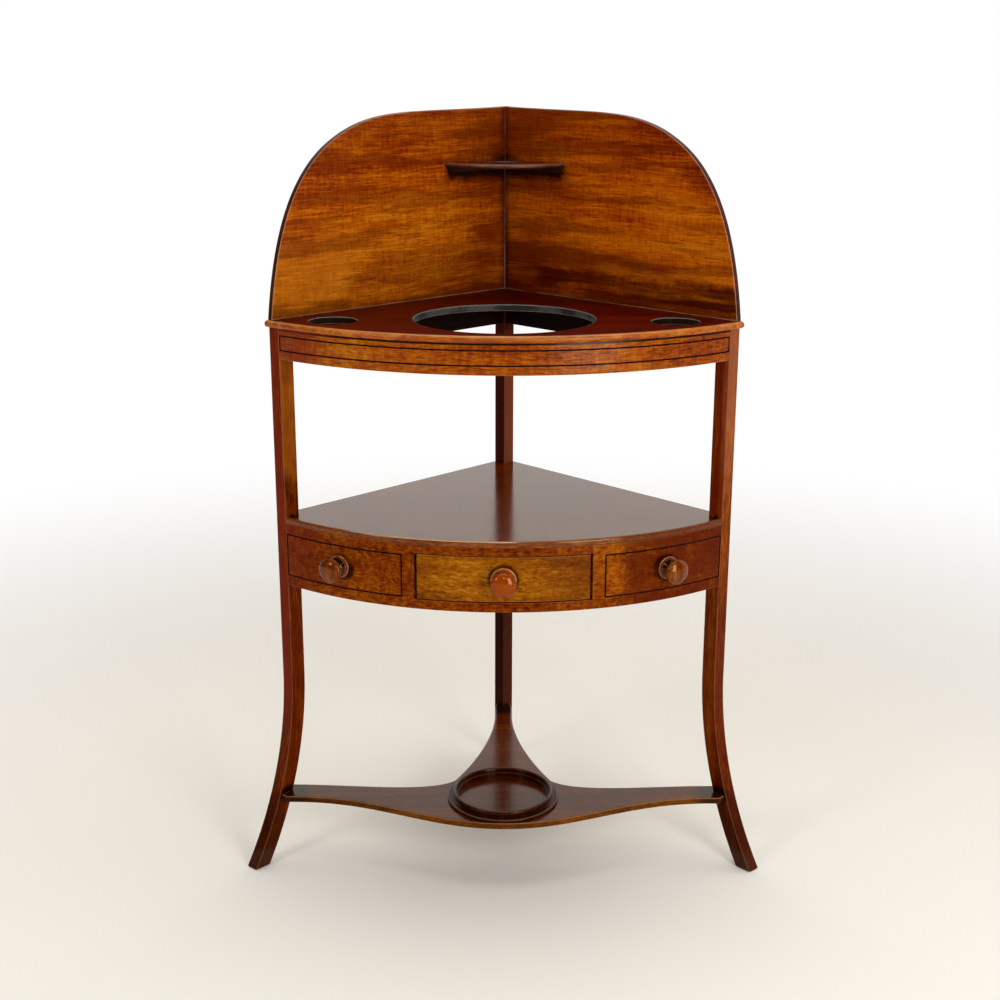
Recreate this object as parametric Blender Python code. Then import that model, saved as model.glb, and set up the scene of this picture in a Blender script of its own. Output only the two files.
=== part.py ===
# Mahogany corner washstand. Two raised back panels stand on a top with a basin hole and two cup
# holes. Below it are a bow-fronted shelf stage, with one working drawer between two dummy drawer
# fronts, and a low stretcher shelf with a turned ring. A rear post and two swept legs carry it.
#
# Metres, +Z up, floor at zero. Plan sizes start at the corner of the two walls: "along" runs along a
# wall, "inward" runs square to that wall into the room, and "depth" runs straight out of the corner.
import math

import bpy
from mathutils import Matrix, Vector

# Overall sizes
overall_height = 1.120
frame_side = 0.472              # along a wall, corner to front face of the front leg
bow_depth = 0.463               # corner to the middle of the bow front
top_height = 0.834              # upper face of the top board
shelf_height = 0.5455           # upper face of the shelf board
stretcher_height = 0.1100       # upper face of the stretcher shelf

# Clearances shared by every joint
joint_gap = 0.0003              # between two touching faces
cut_overrun = 0.002             # how far a cutter runs past a face

# Legs and rear post
leg_depth = 0.0255              # section along the wall
leg_width = 0.0202              # section square to the wall
foot_depth = 0.0236             # section at the floor, square to the sweep
rear_post_side = 0.0215
sweep_start = 0.295             # height where the sabre sweep begins
foot_reach = 0.082              # how far the foot sweeps forward

# Top board
top_board_thickness = 0.0098
top_overhang = 0.0075           # nosing past the frieze
basin_hole_radius = 0.130
basin_front_margin = 0.0025     # rim of the hole to the back of the frieze
cup_hole_radius = 0.034
cup_front_margin = 0.0015
cup_hole_inward = 0.0693        # centre of a cup hole from the wall

# Top frieze, rails and stringing
top_frieze_height = 0.0445
top_frieze_thickness = 0.016
rail_thickness = 0.015
rail_inset = 0.002              # rails stand back from the wall faces of the legs
string_width = 0.0018
string_depth = 0.0010
string_proud = 0.0001
top_string_drop = 0.0095        # nosing to upper string
top_string_rise = 0.0120        # lower edge to lower string
string_end_margin = 0.0010

# Tenons
tenon_thickness = 0.007
tenon_cheek = 0.0045            # wood in front of a frieze tenon
tenon_length = 0.012
tenon_shoulder = 0.006          # cut back at the upper and lower edge
tenon_root = 0.004              # how far a tenon is let into its own piece
rail_tenon_thickness = 0.006
rail_tenon_cheek = 0.0045
mortise_wall = 0.0018           # wood left between two mortises

# Glue blocks
glue_block_size = 0.012
glue_block_length = 0.042
rear_block_margin = 0.060       # rear post to a block
front_block_margin = 0.150      # front leg to a block
top_block_offset = 0.141        # sideways place of the blocks behind the frieze

# Splash panels
splash_thickness = 0.0095
splash_end_reach = 0.0015       # panel's end past the front of the leg
shoulder_along_share = 0.7626   # joint of the two curves on the edge, of the panel's length
shoulder_drop_share = 0.161     # fall from the corner to the shoulder, of the panel's rise
shoulder_slope_share = 0.634    # slope of the edge at the shoulder
top_handle_share = 0.573        # curve handles, of the stretch that each one belongs to
top_fall_share = 0.171
shoulder_inner_share = 0.228
shoulder_outer_share = 0.670
end_handle_share = 0.406
end_lean_share = 0.097
splash_tongue_height = 0.003
splash_tongue_thickness = 0.0045
splash_tongue_end = 0.030       # tongue stops this far from the panel's end
corner_tongue_length = 0.003
corner_tongue_thickness = 0.0035

# Screws up through the top board into the panels
screw_radius = 0.0016
screw_head_radius = 0.0034
screw_head_height = 0.0022
screw_length = 0.024
screw_end_margin = 0.060

# Small corner shelf on the panels
corner_shelf_drop_share = 0.284 # its upper face below the top of the panels, of their rise
corner_shelf_thickness = 0.0066
corner_shelf_side = 0.1400
corner_shelf_return = 0.0066    # square end before the bow
corner_shelf_depth = 0.160      # corner to the middle of its bow
corner_dish_radius = 0.024
corner_dish_sink = 0.0020
corner_dish_depth = 0.095
cleat_height = 0.0078
cleat_width = 0.0100
cleat_end_margin = 0.003
cleat_chamfer = 0.006

# Shelf stage
shelf_thickness = 0.009
shelf_edge_round = 0.0028
frieze_height = 0.0948
frieze_thickness = 0.018
drawer_opening_width = 0.2514
upper_rail_height = 0.0120
upper_rail_width = 0.025
lower_rail_height = 0.0139
lower_rail_back = 0.058         # middle of the bow to the straight back edge
rail_stub = 0.008               # tenons of the drawer rails
rail_stub_width = 0.009
rail_stub_shoulder = 0.0025
shelf_block_margin = 0.030      # rear post to a block

# Stringing on the dummy drawer fronts
dummy_string_drop = 0.0150      # shelf board to upper string
dummy_string_rise = 0.0155      # lower edge to lower string
dummy_string_side = 0.0172      # drawer opening to inner string

# Drawer
drawer_side_gap = 0.0035
drawer_top_gap = 0.0014
drawer_bottom_gap = 0.0018
drawer_front_thickness = 0.018
drawer_side_thickness = 0.009
drawer_side_drop = 0.0020       # sides are lower than the front's upper edge
drawer_back_thickness = 0.008
drawer_back_drop = 0.0045
drawer_rear_clearance = 0.024
drawer_bottom_thickness = 0.005
drawer_bottom_rise = 0.0066     # bottom board above the sides' lower edge
groove_depth = 0.003
front_groove_depth = 0.004
lap_tail_length = 0.0115
tail_root_share = 0.46          # tail height at the shoulder, of the tail spacing
tail_tip_share = 0.66           # tail height at the tip, of the tail spacing
nail_radius = 0.0009
nail_head_radius = 0.0021
nail_head_height = 0.0008
nail_length = 0.014
nail_offset = 0.075

# Runners, guides, kickers and stops
runner_width = 0.026
guide_height = 0.016
guide_gap = 0.0008
guide_front_gap = 0.006
kicker_height = 0.0118
kicker_width = 0.022
stop_length = 0.012
stop_width = 0.020
stop_height = 0.0045
stop_offset = 0.060

# Turned knobs: radii and heights above the face
knob_collar_radius = 0.0170
drawer_collar_radius = 0.0186   # the drawer's knob has a wider collar
knob_collar_height = 0.0034
knob_step_radius = 0.0142
knob_step_height = 0.0056
knob_neck_radius = 0.0082
knob_head_radius = 0.0183
knob_head_back = 0.0178
knob_head_middle = 0.0238
knob_height = 0.0322
knob_spigot_radius = 0.0055
knob_spigot_length = 0.0120

# Stretcher shelf
stretcher_thickness = 0.0095
stretcher_front_depth = 0.4575  # corner to the middle of its front edge
stretcher_end_width = 0.0415    # width of an arm at the leg
stretcher_set_back = 0.0046     # end of the arm behind the leg's front face
stretcher_front_handle = 0.119
stretcher_arm_handle = 0.138
stretcher_arm_dip = 0.006
stretcher_neck_half = 0.0145
stretcher_neck_depth = 0.075
neck_handle = 0.0776
flare_handle = 0.0791
flare_angle = math.radians(25.6)
waist_half = 0.0745             # where the neck meets the arms
waist_depth = 0.318
waist_handle = 0.0594
waist_angle = math.radians(47.6)
arm_rear_handle = 0.0946
arm_rear_dip = 0.0030
stretcher_wall_gap = 0.003
post_housing = 0.010            # how far the neck is let into the post
neck_end_half = 0.0102
stretcher_tenon_width = 0.012
stretcher_tenon_thickness = 0.005
stretcher_tenon_length = 0.008

# Turned ring on the stretcher shelf
ring_base_radius = 0.0840
ring_base_height = 0.0040
ring_outer_radius = 0.0735
ring_inner_radius = 0.0695
ring_lip = 0.0012               # lower part of the bore is smaller by this
ring_lip_height = 0.0062
ring_height = 0.0138
ring_front_margin = 0.0005

# Numbers of steps round curves
bow_steps = 28
sweep_steps = 10
nosing_steps = 6
curve_steps = 12
basin_steps = 44
cup_steps = 24
turned_steps = 28
ring_steps = 44
screw_steps = 10

# Sizes worked out from the ones above
root_two = math.sqrt(2.0)
corner_y = (bow_depth + knob_height) / 2
bow_set_back = (frame_side ** 2 - bow_depth ** 2) / (2 * (bow_depth - frame_side / root_two))
bow_radius = bow_depth + bow_set_back
bow_centre_y = corner_y + bow_set_back
sweep_radius = (sweep_start ** 2 + foot_reach ** 2) / (2 * foot_reach)
top_board_base = top_height - top_board_thickness
top_frieze_base = top_board_base - top_frieze_height
shelf_base = shelf_height - shelf_thickness
frieze_base = shelf_base - frieze_height
rail_outer = rail_inset + rail_thickness
splash_length = frame_side + splash_end_reach
shoulder_along = shoulder_along_share * splash_length
corner_shelf_height = overall_height - corner_shelf_drop_share * (overall_height - top_height)
opening_half = drawer_opening_width / 2
opening_base = frieze_base + lower_rail_height
opening_top = shelf_base - upper_rail_height
drawer_half = opening_half - drawer_side_gap
drawer_inner_half = drawer_half - drawer_side_thickness
drawer_front_base = opening_base + drawer_bottom_gap
drawer_front_top = opening_top - drawer_top_gap
drawer_side_base = opening_base + joint_gap
drawer_side_top = drawer_front_top - drawer_side_drop
drawer_back_depth = drawer_half + rail_outer * root_two + drawer_rear_clearance
drawer_floor_base = drawer_side_base + drawer_bottom_rise
drawer_floor_top = drawer_floor_base + drawer_bottom_thickness
drawer_inner_radius = bow_radius - drawer_front_thickness
basin_depth = bow_depth - top_frieze_thickness - basin_front_margin - basin_hole_radius
ring_centre_depth = stretcher_front_depth - ring_front_margin - ring_base_radius
stretcher_base = stretcher_height - stretcher_thickness
rail_tenon_into_post = rear_post_side - rail_inset - rail_tenon_cheek - rail_tenon_thickness - mortise_wall / 2
lower_rail_depth = bow_depth - lower_rail_back

# Colours and sheen
splash_tone = "#94501C"
red_tone = "#6E2814"
frieze_tone = "#8C4A1C"
dark_tone = "#4C241A"
lining_tone = "#A8865C"
ebony_tone = "#1C1512"
iron_tone = "#56524E"
polish_roughness = 0.28
lining_roughness = 0.62
iron_roughness = 0.55


# Points in plan

def wall_xy(side, along, inward):
    # A point given along and square to the left (-1) or right (+1) wall.
    return (side * (along - inward) / root_two, corner_y - (along + inward) / root_two)


def depth_xy(x, depth):
    # A point given sideways and straight out from the corner.
    return (x, corner_y - depth)


def bow_xy(radius, angle):
    # A point on a circle round the bow's centre, angle zero at the middle of the front.
    return (radius * math.sin(angle), bow_centre_y - radius * math.cos(angle))


def bow_angle_at_wall(radius, inward):
    # Angle at which a circle round the bow's centre is this far from a wall.
    return math.acos((inward + bow_set_back / root_two) / radius) - math.pi / 4


def bow_along(radius, inward):
    # How far along the wall the same crossing lies.
    offset = bow_set_back / root_two
    return math.sqrt(radius ** 2 - (inward + offset) ** 2) - offset


def bow_depth_at(radius, x):
    # Depth from the corner of a circle round the bow's centre at a sideways place.
    return math.sqrt(radius ** 2 - x ** 2) - bow_set_back


def bow_arc(radius, start, end, steps):
    return [bow_xy(radius, start + (end - start) * i / steps) for i in range(steps + 1)]


def bezier(start, start_handle, end_handle, end, steps):
    # Points of a cubic curve, both ends included.
    points = []
    for i in range(steps + 1):
        u = i / steps
        v = 1 - u
        weights = (v ** 3, 3 * v * v * u, 3 * v * u * u, u ** 3)
        corners = (start, start_handle, end_handle, end)
        points.append(tuple(sum(w * c[k] for w, c in zip(weights, corners)) for k in range(2)))
    return points


# Mesh builders

def clear_scene():
    for item in list(bpy.data.objects):
        bpy.data.objects.remove(item, do_unlink=True)


def new_object(name, vertices, faces):
    mesh = bpy.data.meshes.new(name)
    mesh.from_pydata([tuple(v) for v in vertices], [], faces)
    mesh.validate()
    item = bpy.data.objects.new(name, mesh)
    bpy.context.scene.collection.objects.link(item)
    face_outwards(mesh)
    return item


def face_outwards(mesh):
    # Turns a closed mesh right side out when its signed volume is negative.
    volume = 0.0
    for polygon in mesh.polygons:
        corners = [mesh.vertices[i].co for i in polygon.vertices]
        for second, third in zip(corners[1:-1], corners[2:]):
            volume += corners[0].dot(second.cross(third))
    if volume < 0:
        mesh.flip_normals()


def stack(name, loops):
    # Closed solid through loops of equal length, with a flat cap at each end.
    count = len(loops[0])
    vertices = [point for loop in loops for point in loop]
    faces = [list(range(count)), list(range(len(vertices) - count, len(vertices)))[::-1]]
    for level in range(len(loops) - 1):
        for i in range(count):
            j = (i + 1) % count
            low = level * count
            faces.append((low + j, low + i, low + count + i, low + count + j))
    return new_object(name, vertices, faces)


def prism(name, outline, bottom, top):
    return stack(name, [[(x, y, z) for x, y in outline] for z in (bottom, top)])


def wall_box(name, side, along, inward, heights, grow=0.0):
    # Box that lies along a wall. Each range is a pair, and grow widens all of them.
    corners = [(along[0] - grow, inward[0] - grow), (along[1] + grow, inward[0] - grow),
               (along[1] + grow, inward[1] + grow), (along[0] - grow, inward[1] + grow)]
    outline = [wall_xy(side, a, s) for a, s in corners]
    return prism(name, outline, heights[0] - grow, heights[1] + grow)


def plan_box(name, x_range, depths, heights, grow=0.0):
    # Box square to the front.
    outline = [depth_xy(x, d) for x, d in (
        (x_range[0] - grow, depths[0] - grow), (x_range[1] + grow, depths[0] - grow),
        (x_range[1] + grow, depths[1] + grow), (x_range[0] - grow, depths[1] + grow))]
    return prism(name, outline, heights[0] - grow, heights[1] + grow)


def wall_slab(name, side, outline, inward_from, inward_to):
    # Outline of (along, height) points, given a thickness square to the wall.
    loops = []
    for inward in (inward_from, inward_to):
        loops.append([wall_xy(side, a, inward) + (z,) for a, z in outline])
    return stack(name, loops)


def turned(name, profile, steps, ring=False):
    # Turns (radius, height) points round Z. A ring's profile is a closed loop, and any other
    # profile starts and ends on the axis.
    vertices = []
    faces = []
    rows = profile if ring else profile[1:-1]
    for radius, height in rows:
        for i in range(steps):
            angle = 2 * math.pi * i / steps
            vertices.append((radius * math.cos(angle), radius * math.sin(angle), height))
    count = len(rows)
    for row in range(count if ring else count - 1):
        low = row * steps
        high = ((row + 1) % count) * steps
        for i in range(steps):
            j = (i + 1) % steps
            faces.append((low + i, low + j, high + j, high + i))
    if not ring:
        first = len(vertices)
        vertices.append((0, 0, profile[0][1]))
        vertices.append((0, 0, profile[-1][1]))
        last = (count - 1) * steps
        for i in range(steps):
            j = (i + 1) % steps
            faces.append((first, j, i))
            faces.append((first + 1, last + i, last + j))
    return new_object(name, vertices, faces)


def arc_points(centre, radius, start, end, steps):
    return [(centre[0] + radius * math.cos(start + (end - start) * i / steps),
             centre[1] + radius * math.sin(start + (end - start) * i / steps)) for i in range(steps + 1)]


def upright_pin(name, x, y, radius, bottom, top, steps):
    item = turned(name, [(0, bottom), (radius, bottom), (radius, top), (0, top)], steps)
    item.data.transform(Matrix.Translation((x, y, 0)))
    return item


def combine(target, tool, operation):
    # Boolean with a second object, which is used up.
    modifier = target.modifiers.new(operation.lower(), 'BOOLEAN')
    modifier.operation = operation
    modifier.solver = 'EXACT'
    modifier.object = tool
    graph = bpy.context.evaluated_depsgraph_get()
    result = bpy.data.meshes.new_from_object(target.evaluated_get(graph))
    target.modifiers.clear()
    target.data = result
    bpy.data.objects.remove(tool, do_unlink=True)


def cut(target, *tools):
    for tool in tools:
        combine(target, tool, 'DIFFERENCE')


def join(target, *tools):
    for tool in tools:
        combine(target, tool, 'UNION')


def linear_colour(tone):
    # The red, green and blue of a hex colour as linear light.
    colour = []
    for start in (1, 3, 5):
        value = int(tone[start:start + 2], 16) / 255
        colour.append(value / 12.92 if value <= 0.04045 else ((value + 0.055) / 1.055) ** 2.4)
    return tuple(colour) + (1.0,)


def finish(item, tone, roughness, metallic=0.0):
    # One Principled material for each sub-part.
    material = bpy.data.materials.new(item.name + "_finish")
    material.use_nodes = True
    shader = material.node_tree.nodes["Principled BSDF"]
    shader.inputs["Base Color"].default_value = linear_colour(tone)
    shader.inputs["Roughness"].default_value = roughness
    shader.inputs["Metallic"].default_value = metallic
    item.data.materials.clear()
    item.data.materials.append(material)
    material.diffuse_color = linear_colour(tone)
    return item


def smooth(item):
    item.data.shade_smooth()
    item.data.set_sharp_from_angle(angle=math.radians(35))
    return item


def side_name(stem, side):
    return stem + ("_left" if side < 0 else "_right")


# Legs

def sweep_offset(z):
    # How far the front face of a leg has swept forward at a height.
    drop = max(sweep_start - z, 0.0)
    return sweep_radius - math.sqrt(sweep_radius ** 2 - drop ** 2)


def leg_section(z):
    # Back and front of a leg, measured along the wall at a height.
    drop = max(sweep_start - z, 0.0)
    square = leg_depth + (foot_depth - leg_depth) * drop / sweep_start
    slope = math.sqrt(1 - (drop / sweep_radius) ** 2)
    front = frame_side + sweep_offset(z)
    return front - square / slope, front


def leg_solid(name, side, grow=0.0):
    # The front face follows the bow, so its inner edge lies a little further back.
    tilt = frame_side - bow_along(bow_radius, leg_width)
    levels = [sweep_start * i / sweep_steps for i in range(sweep_steps + 1)]
    levels.append(top_board_base - joint_gap)
    loops = []
    for z in levels:
        back, front = leg_section(z)
        plan = [(back - grow, -grow), (back - grow, leg_width + grow),
                (front - tilt + grow, leg_width + grow), (front + grow, -grow)]
        loops.append([wall_xy(side, a, s) + (z,) for a, s in plan])
    return stack(name, loops)


def frieze_tenon(side, base, top, grow=0.0):
    # Tenon of a frieze in the inner face of a front leg.
    front = bow_along(bow_radius, leg_width) - tenon_cheek
    return wall_box("tenon", side, (front - tenon_thickness, front),
                    (leg_width - tenon_length, leg_width + tenon_root),
                    (base + tenon_shoulder, top - tenon_shoulder), grow)


def rail_leg_tenon(side, base, top, grow=0.0):
    # Tenon of a back rail in the back face of a front leg.
    back = frame_side - leg_depth
    tip = bow_along(bow_radius, leg_width) - tenon_cheek - tenon_thickness - mortise_wall
    inner = rail_inset + rail_tenon_cheek
    return wall_box("tenon", side, (back - tenon_root, tip), (inner, inner + rail_tenon_thickness),
                    (base + tenon_shoulder, top - tenon_shoulder), grow)


def rail_post_tenon(side, base, top, grow=0.0):
    # Tenon of a back rail in the rear post.
    inner = rail_inset + rail_tenon_cheek
    return wall_box("tenon", side, (rear_post_side - rail_tenon_into_post, rear_post_side + tenon_root),
                    (inner, inner + rail_tenon_thickness),
                    (base + tenon_shoulder, top - tenon_shoulder), grow)


def stretcher_tenon(side, grow=0.0):
    # Stub tenon of the stretcher shelf in the inner face of a front leg.
    middle_height = stretcher_height - stretcher_thickness / 2
    back, front = leg_section(middle_height)
    middle = (back + front) / 2
    half = stretcher_tenon_thickness / 2
    return wall_box("tenon", side,
                    (middle - stretcher_tenon_width / 2, middle + stretcher_tenon_width / 2),
                    (leg_width - stretcher_tenon_length, leg_width + tenon_root),
                    (middle_height - half, middle_height + half), grow)


def make_front_leg(side):
    leg = leg_solid(side_name("front_leg", side), side)
    cut(leg, frieze_tenon(side, top_frieze_base, top_board_base, joint_gap))
    cut(leg, frieze_tenon(side, frieze_base, shelf_base, joint_gap))
    cut(leg, rail_leg_tenon(side, top_frieze_base, top_board_base, joint_gap))
    cut(leg, rail_leg_tenon(side, frieze_base, shelf_base, joint_gap))
    cut(leg, stretcher_tenon(side, joint_gap))
    finish(leg, red_tone, polish_roughness)


def make_rear_post():
    outline = [wall_xy(1, a, s) for a, s in (
        (0, 0), (rear_post_side, 0), (rear_post_side, rear_post_side), (0, rear_post_side))]
    post = prism("rear_post", outline, 0, top_board_base - joint_gap)
    for side in (-1, 1):
        cut(post, rail_post_tenon(side, top_frieze_base, top_board_base, joint_gap))
        cut(post, rail_post_tenon(side, frieze_base, shelf_base, joint_gap))
    arris = rear_post_side * root_two
    housing = plan_box("housing", (-rear_post_side, rear_post_side),
                       (arris - post_housing, arris + cut_overrun),
                       (stretcher_base, stretcher_height), joint_gap)
    cut(post, housing)
    finish(post, dark_tone, polish_roughness)


# Top stage

def bow_board(name, radius, edge_rows):
    # Board that fills the corner out to a circle round the bow's centre. The rows are
    # (inset, height) pairs up its front edge.
    loops = []
    for inset, z in edge_rows:
        end = bow_angle_at_wall(radius - inset, 0)
        arc = bow_arc(radius - inset, -end, end, bow_steps)
        loops.append([(x, y, z) for x, y in [(0, corner_y)] + arc])
    return stack(name, loops)


def bullnose(bottom, top, steps):
    # Half-round edge from the lower face to the upper one.
    radius = (top - bottom) / 2
    middle = (top + bottom) / 2
    rows = []
    for i in range(steps + 1):
        angle = math.pi * (i / steps - 0.5)
        rows.append((radius * (1 - math.cos(angle)), middle + radius * math.sin(angle)))
    return rows


def cup_hole_xy(side):
    # The cup holes lie against the frieze and at a set distance from the walls.
    radius = bow_radius - top_frieze_thickness - cup_front_margin - cup_hole_radius
    return wall_xy(side, bow_along(radius, cup_hole_inward), cup_hole_inward)


def splash_tongue(side, grow=0.0):
    # Tongue under a panel, in a groove of the top board.
    middle = splash_thickness / 2
    half = splash_tongue_thickness / 2
    return wall_box("tongue", side, (splash_tongue_end, splash_length - splash_tongue_end),
                    (middle - half, middle + half),
                    (top_height - splash_tongue_height, top_height + tenon_root), grow)


def screw_places(side):
    # Three screws under a panel, named by where they stand.
    last = splash_length - screw_end_margin
    rows = (("rear", screw_end_margin), ("middle", (screw_end_margin + last) / 2), ("front", last))
    return {place: wall_xy(side, along, splash_thickness / 2) for place, along in rows}


def screw_solid(name, place, grow=0.0):
    # Countersunk head flush with the underside of the top board, point in the panel.
    base = top_board_base
    profile = [(0, base - grow), (screw_head_radius + grow, base - grow),
               (screw_radius + grow, base + screw_head_height + grow),
               (screw_radius + grow, base + screw_length - screw_head_radius),
               (0, base + screw_length + grow)]
    item = turned(name, profile, screw_steps)
    item.data.transform(Matrix.Translation((place[0], place[1], 0)))
    return item


def make_top_board():
    board = bow_board("top_board", bow_radius + top_overhang,
                      bullnose(top_board_base, top_height, nosing_steps))
    bottom = top_board_base - cut_overrun
    top = top_height + cut_overrun
    cut(board, upright_pin("hole", 0, corner_y - basin_depth, basin_hole_radius, bottom, top, basin_steps))
    for side in (-1, 1):
        x, y = cup_hole_xy(side)
        cut(board, upright_pin("hole", x, y, cup_hole_radius, bottom, top, cup_steps))
        cut(board, splash_tongue(side, joint_gap))
        for place in screw_places(side).values():
            cut(board, screw_solid("hole", place, joint_gap))
    finish(board, frieze_tone, polish_roughness)


def frieze_band(name, radius, thickness, inward, base, top):
    # Curved piece between the front legs, its ends cut to the legs' inner faces.
    outer = bow_angle_at_wall(radius, inward)
    inner = bow_angle_at_wall(radius - thickness, inward)
    outline = bow_arc(radius, -outer, outer, bow_steps)
    outline += bow_arc(radius - thickness, inner, -inner, bow_steps)
    return prism(name, outline, base, top)


def string_frame(name, start, end, base, top, width, depth, grow=0.0):
    # Rectangle of stringing let into the bow, drawn as a swept frame.
    steps = max(2, round(bow_steps * (end - start) / 1.4))
    slant = width / bow_radius
    spread = grow / bow_radius
    outer = perimeter(start - spread, end + spread, base - grow, top + grow, steps)
    inner = perimeter(start + slant + spread, end - slant - spread, base + width + grow,
                      top - width - grow, steps)
    front = bow_radius + string_proud + (cut_overrun if grow else 0.0)
    back = bow_radius - depth - grow
    loops = []
    for loop, radius in ((outer, front), (inner, front), (inner, back), (outer, back)):
        loops.append([bow_xy(radius, angle) + (z,) for angle, z in loop])
    count = len(outer)
    vertices = [point for loop in loops for point in loop]
    faces = []
    for ring in range(4):
        low = ring * count
        high = ((ring + 1) % 4) * count
        for i in range(count):
            j = (i + 1) % count
            faces.append((low + i, low + j, high + j, high + i))
    return new_object(name, vertices, faces)


def perimeter(start, end, base, top, steps):
    # Points round a rectangle of angle and height, with steps along the two long edges.
    angles = [start + (end - start) * i / steps for i in range(steps + 1)]
    return [(a, base) for a in angles] + [(a, top) for a in reversed(angles)]


def top_string(grow=0.0):
    end = bow_angle_at_wall(bow_radius, leg_width) - string_end_margin / bow_radius
    return string_frame("top_frieze_stringing", -end, end, top_frieze_base + top_string_rise,
                        top_board_base - top_string_drop, string_width, string_depth, grow)


def make_top_frieze():
    base = top_frieze_base
    top = top_board_base
    frieze = frieze_band("top_frieze", bow_radius, top_frieze_thickness, leg_width + joint_gap,
                         base, top - joint_gap)
    for side in (-1, 1):
        join(frieze, frieze_tenon(side, base, top))
    cut(frieze, top_string(joint_gap))
    finish(frieze, frieze_tone, polish_roughness)
    finish(top_string(), ebony_tone, polish_roughness)


def make_back_rail(name, side, base, top):
    rail = wall_box(name, side, (rear_post_side + joint_gap, frame_side - leg_depth - joint_gap),
                    (rail_inset, rail_outer), (base, top - joint_gap))
    join(rail, rail_post_tenon(side, base, top), rail_leg_tenon(side, base, top))
    finish(rail, dark_tone, lining_roughness)


def wall_glue_block(name, side, along, top):
    # Triangular block in the angle between a back rail and the board above it.
    inner = rail_outer + joint_gap
    section = [(inner, top), (inner, top - glue_block_size), (inner + glue_block_size, top)]
    loops = []
    for place in (along - glue_block_length / 2, along + glue_block_length / 2):
        loops.append([wall_xy(side, place, s) + (z,) for s, z in section])
    finish(stack(side_name(name, side), loops), lining_tone, lining_roughness)


def frieze_glue_block(name, side, top):
    # The same block behind the top frieze, turned to the bow.
    radius = bow_radius - top_frieze_thickness - joint_gap
    middle = math.asin(top_block_offset / radius)
    half = glue_block_length / 2 / radius
    flat = radius * math.cos(half)
    section = [(0, top), (0, top - glue_block_size), (glue_block_size, top)]
    loops = []
    for angle in (middle - half, middle + half):
        loops.append([bow_xy((flat - s) / math.cos(half), side * angle) + (z,) for s, z in section])
    finish(stack(side_name(name, side), loops), lining_tone, lining_roughness)


def make_glue_blocks(side):
    # Two blocks on a top rail, one behind the frieze and one on the lower rail.
    top = top_board_base - joint_gap
    rear_end = rear_post_side + glue_block_length / 2
    front_end = frame_side - leg_depth - glue_block_length / 2
    wall_glue_block("top_block_rear", side, rear_end + rear_block_margin, top)
    wall_glue_block("top_block_front", side, front_end - front_block_margin, top)
    frieze_glue_block("top_block_bow", side, top)
    wall_glue_block("shelf_block", side, rear_end + shelf_block_margin, shelf_base - joint_gap)


# Splash panels and the small corner shelf

def splash_edge():
    # Upper edge of a panel from the wall corner to the front end, as (along, height).
    base = top_height + joint_gap
    drop = shoulder_drop_share * (overall_height - base)
    height = overall_height - drop
    inner = shoulder_inner_share * shoulder_along
    outer = shoulder_outer_share * (splash_length - shoulder_along)
    first = bezier((0, overall_height),
                   (top_handle_share * shoulder_along, overall_height - top_fall_share * drop),
                   (shoulder_along - inner, height + inner * shoulder_slope_share),
                   (shoulder_along, height), curve_steps)
    second = bezier((shoulder_along, height),
                    (shoulder_along + outer, height - outer * shoulder_slope_share),
                    (splash_length - end_lean_share * (splash_length - shoulder_along),
                     base + end_handle_share * (height - base)),
                    (splash_length, base), curve_steps)
    return first + second[1:]


def edge_height(edge, along):
    for (a0, z0), (a1, z1) in zip(edge, edge[1:]):
        if a0 <= along <= a1:
            return z0 + (z1 - z0) * (along - a0) / (a1 - a0)
    return edge[0][1]


def corner_tongue(grow=0.0):
    # Tongue on the right panel's rear edge, in a groove of the left panel.
    middle = splash_thickness / 2
    half = corner_tongue_thickness / 2
    return wall_box("tongue", 1, (splash_thickness - corner_tongue_length, splash_thickness + tenon_root),
                    (middle - half, middle + half),
                    (top_height + tenon_shoulder, overall_height - tenon_shoulder), grow)


def make_splashback(side):
    # The left panel runs into the corner and the right one butts against it.
    start = 0 if side < 0 else splash_thickness + joint_gap
    edge = splash_edge()
    outline = [(start, top_height + joint_gap), (start, edge_height(edge, start))]
    outline += [point for point in edge if point[0] > start + joint_gap]
    panel = wall_slab(side_name("splashback", side), side, outline, 0, splash_thickness)
    if side > 0:
        join(panel, corner_tongue())
    else:
        cut(panel, corner_tongue(joint_gap))
    join(panel, splash_tongue(side))
    for place in screw_places(side).values():
        cut(panel, screw_solid("hole", place, joint_gap))
    finish(panel, splash_tone, polish_roughness)


def make_splash_screws(side):
    for place, point in screw_places(side).items():
        screw = screw_solid(side_name("splash_screw_" + place, side), point)
        finish(smooth(screw), iron_tone, iron_roughness, 1.0)


def corner_shelf_outline(inset):
    # Two edges on the panels, a square return at each end, and a bow between them.
    base = splash_thickness + joint_gap
    end_along = corner_shelf_side - inset
    end_inward = base + corner_shelf_return
    end_x, end_y = wall_xy(1, end_along, end_inward)
    end_depth = corner_y - end_y
    rise = corner_shelf_depth - inset - end_depth
    radius = (end_x ** 2 + rise ** 2) / (2 * rise)
    centre_depth = corner_shelf_depth - inset - radius
    sweep = math.atan2(end_x, end_depth - centre_depth)
    bow = []
    for i in range(curve_steps + 1):
        angle = -sweep + 2 * sweep * i / curve_steps
        bow.append(depth_xy(radius * math.sin(angle), centre_depth + radius * math.cos(angle)))
    return [wall_xy(1, base, base), wall_xy(-1, end_along, base)] + bow + [wall_xy(1, end_along, base)]


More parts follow.
